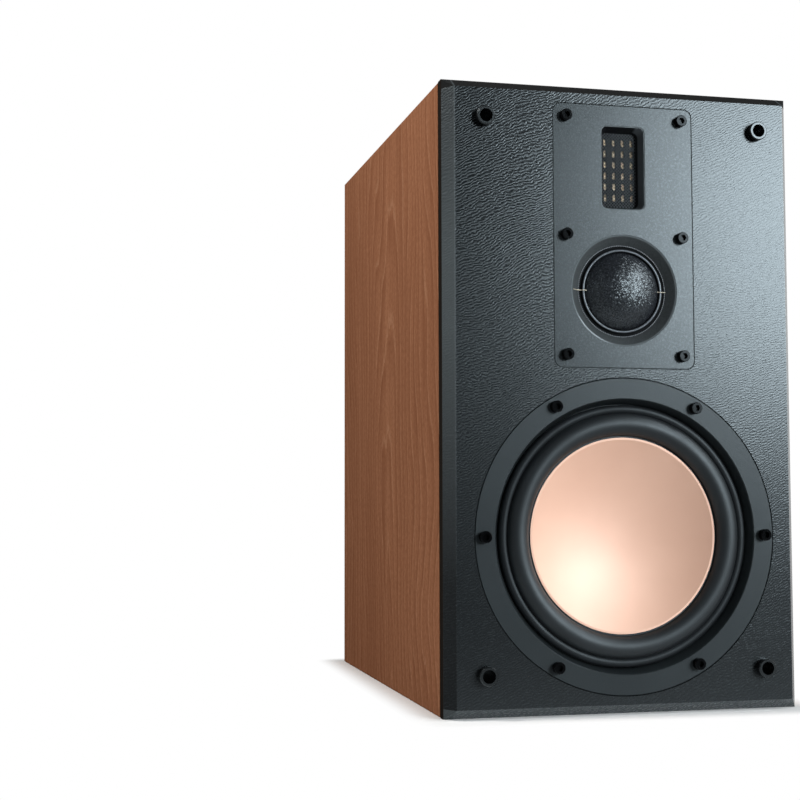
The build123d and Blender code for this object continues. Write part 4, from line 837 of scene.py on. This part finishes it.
def dome_depth(radius, behind=0.0):
    """Depth of the dome's outer surface, or of one behind it, at a radius."""
    sphere = (DOME_RADIUS**2 + DOME_HEIGHT**2) / (2 * DOME_HEIGHT)
    centre = RECESS_DEPTH - DOME_HEIGHT + sphere
    return centre - math.sqrt((sphere - behind) ** 2 - radius**2)


def mid_dome():
    """Coated cloth cap with its skirt."""
    steps = DOME_RINGS
    edge = DOME_RADIUS - DOME_CLOTH
    tip = TIP_RADIUS
    outer = [tip + (DOME_RADIUS - tip) * k / steps for k in range(steps + 1)]
    inner = [edge + (tip - edge) * k / steps for k in range(steps + 1)]
    profile = [(r, dome_depth(r)) for r in outer]
    profile += [(DOME_RADIUS, RECESS_DEPTH + DOME_SKIRT), (edge, RECESS_DEPTH + DOME_SKIRT)]
    profile += [(r, dome_depth(r, DOME_CLOTH)) for r in inner]
    piece = lathe("dome_cap", distinct(profile), DOME, "dome_cloth", DOME_STEPS, sharp=40.0)
    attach(piece, "mid_diaphragm")
    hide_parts("mid_dome")


def mid_surround():
    """Small roll of coated cloth between the dome and its clamp."""
    level = RECESS_DEPTH
    middle = (DOME_ROLL_INNER + DOME_ROLL_OUTER) / 2
    crest = level - DOME_ROLL_RISE
    under = level + DOME_CLOTH
    profile = [(DOME_FOOT, under), (DOME_FOOT, level)]
    profile += arc((DOME_ROLL_OUTER, level), (middle, crest), (DOME_ROLL_INNER, level), DOME_ROLL_STEPS)
    profile += [(DOME_ROLL_INNER, under)]
    profile += arc(
        (DOME_ROLL_INNER + DOME_CLOTH, under),
        (middle, crest + DOME_CLOTH),
        (DOME_ROLL_OUTER - DOME_CLOTH, under),
        DOME_BACK_STEPS,
    )
    piece = lathe("dome_roll", distinct(profile), DOME, "surround_rubber", DOME_STEPS, sharp=50.0)
    piece.data.materials[0] = dome_roll_coat_painted_highlight()
    blend_round(piece)
    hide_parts("mid_surround")


def tube(name, path, radius, slot, sides=10):
    """Round wire along a path of points, closed at both ends."""
    points = []
    for k, place in enumerate(path):
        ahead = path[min(k + 1, len(path) - 1)] - path[max(k - 1, 0)]
        side = ahead.cross(Vector((0, 0, 1))).normalized()
        up = side.cross(ahead).normalized()
        for i in range(sides):
            angle = 2 * math.pi * i / sides
            points.append(place + radius * (math.cos(angle) * side + math.sin(angle) * up))
    return new_piece(name, points, rod_faces(len(path), sides), slot, sharp=60.0)


def dome_edge():
    """Coarse stitched edge of the cloth around the throat of the recess."""
    sides = 8
    steps = STITCHES * STITCH_STEPS
    points = []
    for k in range(steps):
        angle = 2 * math.pi * k / steps
        thick = STITCH_THIN + STITCH_SWELL * math.cos(STITCHES * angle / 2) ** 2
        for i in range(sides):
            turn = 2 * math.pi * i / sides
            radius = (RECESS_THROAT + STITCH_ASIDE + thick * math.cos(turn)) * MM
            depth = (RECESS_DEPTH - STITCH_ABOVE + thick * math.sin(turn)) * MM
            x, z = radius * math.cos(angle), radius * math.sin(angle)
            points.append((DOME.x + x, FRONT + depth, DOME.z + z))
    faces = ring_faces(steps, sides, closed=True)
    piece = new_piece("dome_cloth_edge", points, faces, "spider_cloth", sharp=60.0)
    piece.data.materials[0] = coated("edge_thread", (70, 74, 80), (150, 156, 162), grain=0.9, roughness=0.6)
    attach(piece, "cabinet")


def mid_lead_outs():
    """Thin wires over the roll to the dome's edge, the left one from the mouth of the recess."""
    over = ((31.4, 4.9), (30.2, 4.55), (29.4, 3.95), (28.85, 3.85), (28.0, 4.0), (27.2, 4.5), (26.5, 4.5))
    routes = {"left": (-1, ((37.6, 0.75), (33.5, 4.3)) + over), "right": (1, ((32.6, 4.6),) + over)}
    look = {"grain": 0.3, "roughness": 0.34, "relief": 0.01, "metallic": 0.6}
    tinsel = coated("tinsel", (190, 180, 158), (238, 232, 218), **look)
    for label, (side, route) in routes.items():
        path = [Vector((DOME.x + side * r * MM, FRONT + d * MM, DOME.z)) for r, d in route]
        piece = tube(f"dome_lead_{label}", path, LEAD_RADIUS * MM, "trace_gold")
        piece.data.materials[0] = tinsel
        blend_round(piece)


def guard_reach(base, along):
    """Both ends of a wire within the guard's outline, measured along it."""
    ends = []
    for limit, axis in ((GUARD_WIDTH / 2, 0), (GUARD_HEIGHT / 2, 2)):
        ends.append(sorted((s * limit - base[axis]) / along[axis] for s in (-1, 1)))
    return max(ends[0][0], ends[1][0]), min(ends[0][1], ends[1][1])


def guard_wire(family, k):
    """Corners of the sections of one wire, over and under the other family; none for a short one."""
    along = Vector((1, 0, family)).normalized()
    across = Vector((-family, 0, 1)).normalized()
    base = across * (k * GUARD_PITCH)
    start, stop = guard_reach(base, along)
    if stop - start < GUARD_PITCH:
        return []
    first = math.ceil(start / GUARD_PITCH)
    last = math.floor(stop / GUARD_PITCH)
    knots = [start] + [i * GUARD_PITCH for i in range(first, last + 1)] + [stop]
    wide = across * GUARD_WIRE * MM
    deep = Vector((0, GUARD_WIRE * MM, 0))
    corners = []
    for n, t in enumerate(knots):
        over = (1 if (first + n + k) % 2 else -1) * family * GUARD_WIRE
        spot = base + along * t
        depth = FRONT + (GUARD_DEPTH + over) * MM
        centre = Vector((TWEETER.x + spot.x * MM, depth, TWEETER.z + spot.z * MM))
        corners += [centre - wide, centre - deep, centre + wide, centre + deep]
    return corners


def tweeter_guard():
    """Plain-woven wire cloth, set on the diagonal, that fills the window."""
    sides = 4
    count = int((GUARD_WIDTH + GUARD_HEIGHT) / 2 / math.sqrt(2) / GUARD_PITCH)
    points, faces = [], []
    for family in (1, -1):
        for k in range(-count, count + 1):
            corners = guard_wire(family, k)
            if corners:
                rings = len(corners) // sides
                faces += [face[::-1] for face in rod_faces(rings, sides, len(points))]
                points += corners
    piece = new_piece("tweeter_wire_cloth", points, faces, "mesh_black", sharp=120.0)
    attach(piece, "cabinet")
    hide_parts("tweeter_mesh")


def film_points(low, high):
    """Places on the front and the back of the film, and the share of the stroke that each one takes."""
    points, shares = [], []
    for level in (low.y, high.y):
        for i in range(FILM_COLUMNS + 1):
            x = low.x + (high.x - low.x) * i / FILM_COLUMNS
            wave = math.cos(2 * math.pi * (x - TWEETER.x) / (FILM_PLEAT * MM))
            for k in range(FILM_ROWS + 1):
                z = low.z + (high.z - low.z) * k / FILM_ROWS
                rim = min(x - low.x, high.x - x, z - low.z, high.z - z) / (FILM_BORDER * MM)
                rim = min(max(rim - 1, 0) / 0.5, 1)
                points.append((x, level - rim * (1 + wave) / 2 * FILM_WAVE * MM, z))
                shares.append(rim)
    return points, shares


def film_faces():
    """Faces of the film's front, back and edge."""
    size = (FILM_COLUMNS + 1) * (FILM_ROWS + 1)

    def corner(sheet, i, k):
        return sheet * size + i * (FILM_ROWS + 1) + k

    faces = []
    for i in range(FILM_COLUMNS):
        for k in range(FILM_ROWS):
            front = (corner(0, i, k), corner(0, i + 1, k), corner(0, i + 1, k + 1), corner(0, i, k + 1))
            faces.append(front)
            faces.append(tuple(v + size for v in reversed(front)))
    border = [(i, 0) for i in range(FILM_COLUMNS)]
    border += [(FILM_COLUMNS, k) for k in range(FILM_ROWS)]
    border += [(i, FILM_ROWS) for i in range(FILM_COLUMNS, 0, -1)]
    border += [(0, k) for k in range(FILM_ROWS, 0, -1)]
    for here, there in zip(border, border[1:] + border[:1]):
        faces.append((corner(0, *there), corner(0, *here), corner(1, *here), corner(1, *there)))
    return faces


def tweeter_film():
    """Thin film, held at its edge, with shallow pleats between the conductors."""
    low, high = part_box("tweeter_film")
    points, shares = film_points(low, high)
    piece = new_piece("tweeter_membrane", points, film_faces(), "film_amber", sharp=40.0)
    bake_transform(piece)
    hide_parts("tweeter_film")


def wool_pads():
    """Lofty wadding sheets with soft edges, on the side walls."""
    places = np.array([v.co for v in nodes["damping_wool"].data.vertices])
    split = (places[:, 2].min() + places[:, 2].max()) / 2 * WOOL_SPLIT
    for label, side in (("left", -1), ("right", 1)):
        for level, above in (("low", False), ("high", True)):
            near = (places[:, 0] * side > 0) & ((places[:, 2] > split) == above)
            low, high = places[near].min(0), places[near].max(0)
            piece = wool_pad(f"wool_{label}_{level}", Vector(low), Vector(high))
            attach(piece, "cabinet")
            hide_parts("damping_wool")


def wool_pad(name, low, high):
    """Closed pad inside a box, with rounded edges and lumpy faces."""
    half = (high - low) / 2
    middle = (high + low) / 2
    counts = [max(4, round(2 * h / WOOL_STEP)) for h in half]
    bend = WOOL_ROUND * min(half)
    points, faces, index = [], [], {}

    def vertex(key):
        if key not in index:
            place = Vector(h * (2 * k / n - 1) for h, k, n in zip(half, key, counts))
            core = Vector(max(min(p, h - bend), bend - h) for p, h in zip(place, half))
            lumps = noise.noise(place * WOOL_COARSE) + WOOL_FINE_SHARE * noise.noise(place * WOOL_FINE)
            out = (place - core).normalized() * bend * (WOOL_LOFT + WOOL_LUMPS * lumps)
            index[key] = len(points)
            points.append(middle + core + out)
        return index[key]

    for axis in range(3):
        b, c = (axis + 1) % 3, (axis + 2) % 3
        for end in (0, counts[axis]):
            for i in range(counts[b]):
                for j in range(counts[c]):
                    quad = []
                    for di, dj in ((0, 0), (1, 0), (1, 1), (0, 1)):
                        key = [0, 0, 0]
                        key[axis], key[b], key[c] = end, i + di, j + dj
                        quad.append(vertex(tuple(key)))
                    faces.append(tuple(quad if end else reversed(quad)))
    return new_piece(name, points, faces, "wool", sharp=70.0)


woofer_cone()
woofer_surround()
woofer_spider()
mid_dome()
mid_surround()
dome_edge()
mid_lead_outs()
tweeter_guard()
tweeter_film()
wool_pads()


# Finishes of the carried-over nodes


def dress(node, finish):
    mesh = nodes[node].data
    mesh.materials.clear()
    mesh.materials.append(finish)


for part in frame["record"]["subparts"]:
    dress(part["node"], MATERIALS[part["material_slot"]])
for panel in ("top_panel", "bottom_panel"):
    dress(panel, LEVEL_VENEER)
dress("front_baffle", painted_board())


# Floor, light and camera


def floor_distance(g, axes):
    """Distance on the floor from the object's box."""
    low, high = cad_box
    gaps = []
    for axis, near, far in (("X", low[0], high[0]), ("Y", low[1], high[1])):
        offset = g.math("ABSOLUTE", g.math("SUBTRACT", axes[axis], (near + far) / 2))
        gaps.append(g.math("MAXIMUM", g.math("SUBTRACT", offset, (far - near) / 2), 0.0))
    return g.math("SQRT", g.math("MULTIPLY_ADD", gaps[0], gaps[0], g.math("MULTIPLY", gaps[1], gaps[1])))


def floor():
    """Pale floor that keeps the shadow near the object and is white farther away."""
    bpy.ops.mesh.primitive_plane_add(size=FLOOR_SIZE)
    plane = bpy.context.object
    plane.name = "floor"
    g = material("floor")
    axes = g.axes()
    rays = g.add("LightPath", {}).node.outputs
    reach = {"Value": floor_distance(g, axes), "From Min": 0.0, "From Max": SHADOW_REACH}
    fade = g.add("MapRange", reach, interpolation_type="SMOOTHSTEP")
    fine = g.ramp(g.noise(60.0, 3.0), (0.3, (0.90, 0.90, 0.90, 1)), (0.7, (0.94, 0.94, 0.94, 1)))
    fine = g.mix(g.math("MULTIPLY", rays["Is Diffuse Ray"], 0.25), fine, BLACK)
    matt = g.add("BsdfDiffuse", {"Color": fine})
    mirrored = g.math("MULTIPLY", g.spread(axes["Y"], -0.7, 0.1, STUDIO, 1.0), rays["Is Glossy Ray"])
    straight = g.math("MAXIMUM", rays["Is Camera Ray"], rays["Is Transmission Ray"])
    level = g.math("MAXIMUM", straight, mirrored)
    white = g.add("Emission", {"Color": WHITE, "Strength": level})
    shown = g.math("MAXIMUM", straight, rays["Is Glossy Ray"])
    g.surface(g.add("MixShader", {0: g.math("MULTIPLY", shown, fade), 1: matt, 2: white}))
    plane.data.materials.append(g.owner)


def world():
    """White background where it is seen, dimmer studio behind the camera and a soft ambient light."""
    studio = bpy.data.worlds.new("studio")
    bpy.context.scene.world = studio
    g = Graph(studio, "OutputWorld", "Generated")
    rays = g.add("LightPath", {}).node.outputs
    axes = g.axes()
    mirrored = g.spread(axes["Y"], -0.5, 0.2, STUDIO, 1.0)
    mirrored = g.math("MULTIPLY", mirrored, g.spread(axes["Z"], 0.3, 0.6, 1.0, CEILING))
    level = g.math("MULTIPLY", mirrored, rays["Is Glossy Ray"])
    level = g.math("MAXIMUM", level, rays["Is Camera Ray"])
    level = g.math("MAXIMUM", level, rays["Is Transmission Ray"])
    ambient = g.spread(rays["Is Glossy Ray"], 0.0, 1.0, AMBIENT, 0.0)
    level = g.math("MAXIMUM", level, ambient)
    g.surface(g.add("Background", {"Color": WHITE, "Strength": level}))


def softbox(name, place, target, size, watts, tint):
    """Rectangular studio light turned towards a point."""
    data = bpy.data.lights.new(name, "AREA")
    data.shape = "RECTANGLE"
    data.size, data.size_y = size
    data.energy = watts
    data.color = tint
    lamp = bpy.data.objects.new(name, data)
    bpy.context.scene.collection.objects.link(lamp)
    lamp.location = place
    aim = Vector(target) - Vector(place)
    lamp.rotation_euler = aim.to_track_quat("-Z", "Y").to_euler()


def lights():
    """Large key at the right, a small one above it, a strip over the left side and a weak left front."""
    softbox("key", (1.50, -2.07, 0.79), (0.0, -0.18, 0.28), size=(1.3, 0.85), watts=62.0, tint=COOL)
    softbox("right", (1.25, -0.75, 1.25), (0.0, -0.18, 0.3), size=(0.6, 0.6), watts=11.0, tint=COOL)
    softbox("side", (-0.74, -0.12, 1.0), (-0.13, -0.11, 0.34), size=(0.15, 0.5), watts=7.5, tint=WARM)
    softbox("left", (-1.2, -1.4, 0.95), (0.0, -0.18, 0.3), size=(0.3, 0.3), watts=1.1, tint=COOL)


def camera():
    """Camera at the photograph's place, with its turn given by yaw, pitch and roll."""
    data = bpy.data.cameras.new("camera")
    data.sensor_width = SENSOR
    data.lens = FOCAL_PIXELS / FRAME_PIXELS * SENSOR
    data.clip_start = NEAR_CLIP
    view = bpy.data.objects.new("camera", data)
    bpy.context.scene.collection.objects.link(view)
    right = Vector((math.cos(CAMERA_YAW), -math.sin(CAMERA_YAW), 0.0))
    flat = math.cos(CAMERA_PITCH)
    ahead = Vector((math.sin(CAMERA_YAW) * flat, math.cos(CAMERA_YAW) * flat, math.sin(CAMERA_PITCH)))
    up = right.cross(ahead)
    c, s = math.cos(CAMERA_ROLL), math.sin(CAMERA_ROLL)
    right, up = right * c + up * s, up * c - right * s
    turn = Matrix((right, up, -ahead)).transposed().to_4x4()
    view.matrix_world = Matrix.Translation(CAMERA_PLACE) @ turn
    bpy.context.scene.camera = view


floor()
world()
lights()
camera()
bpy.context.scene.view_settings.view_transform = "Standard"
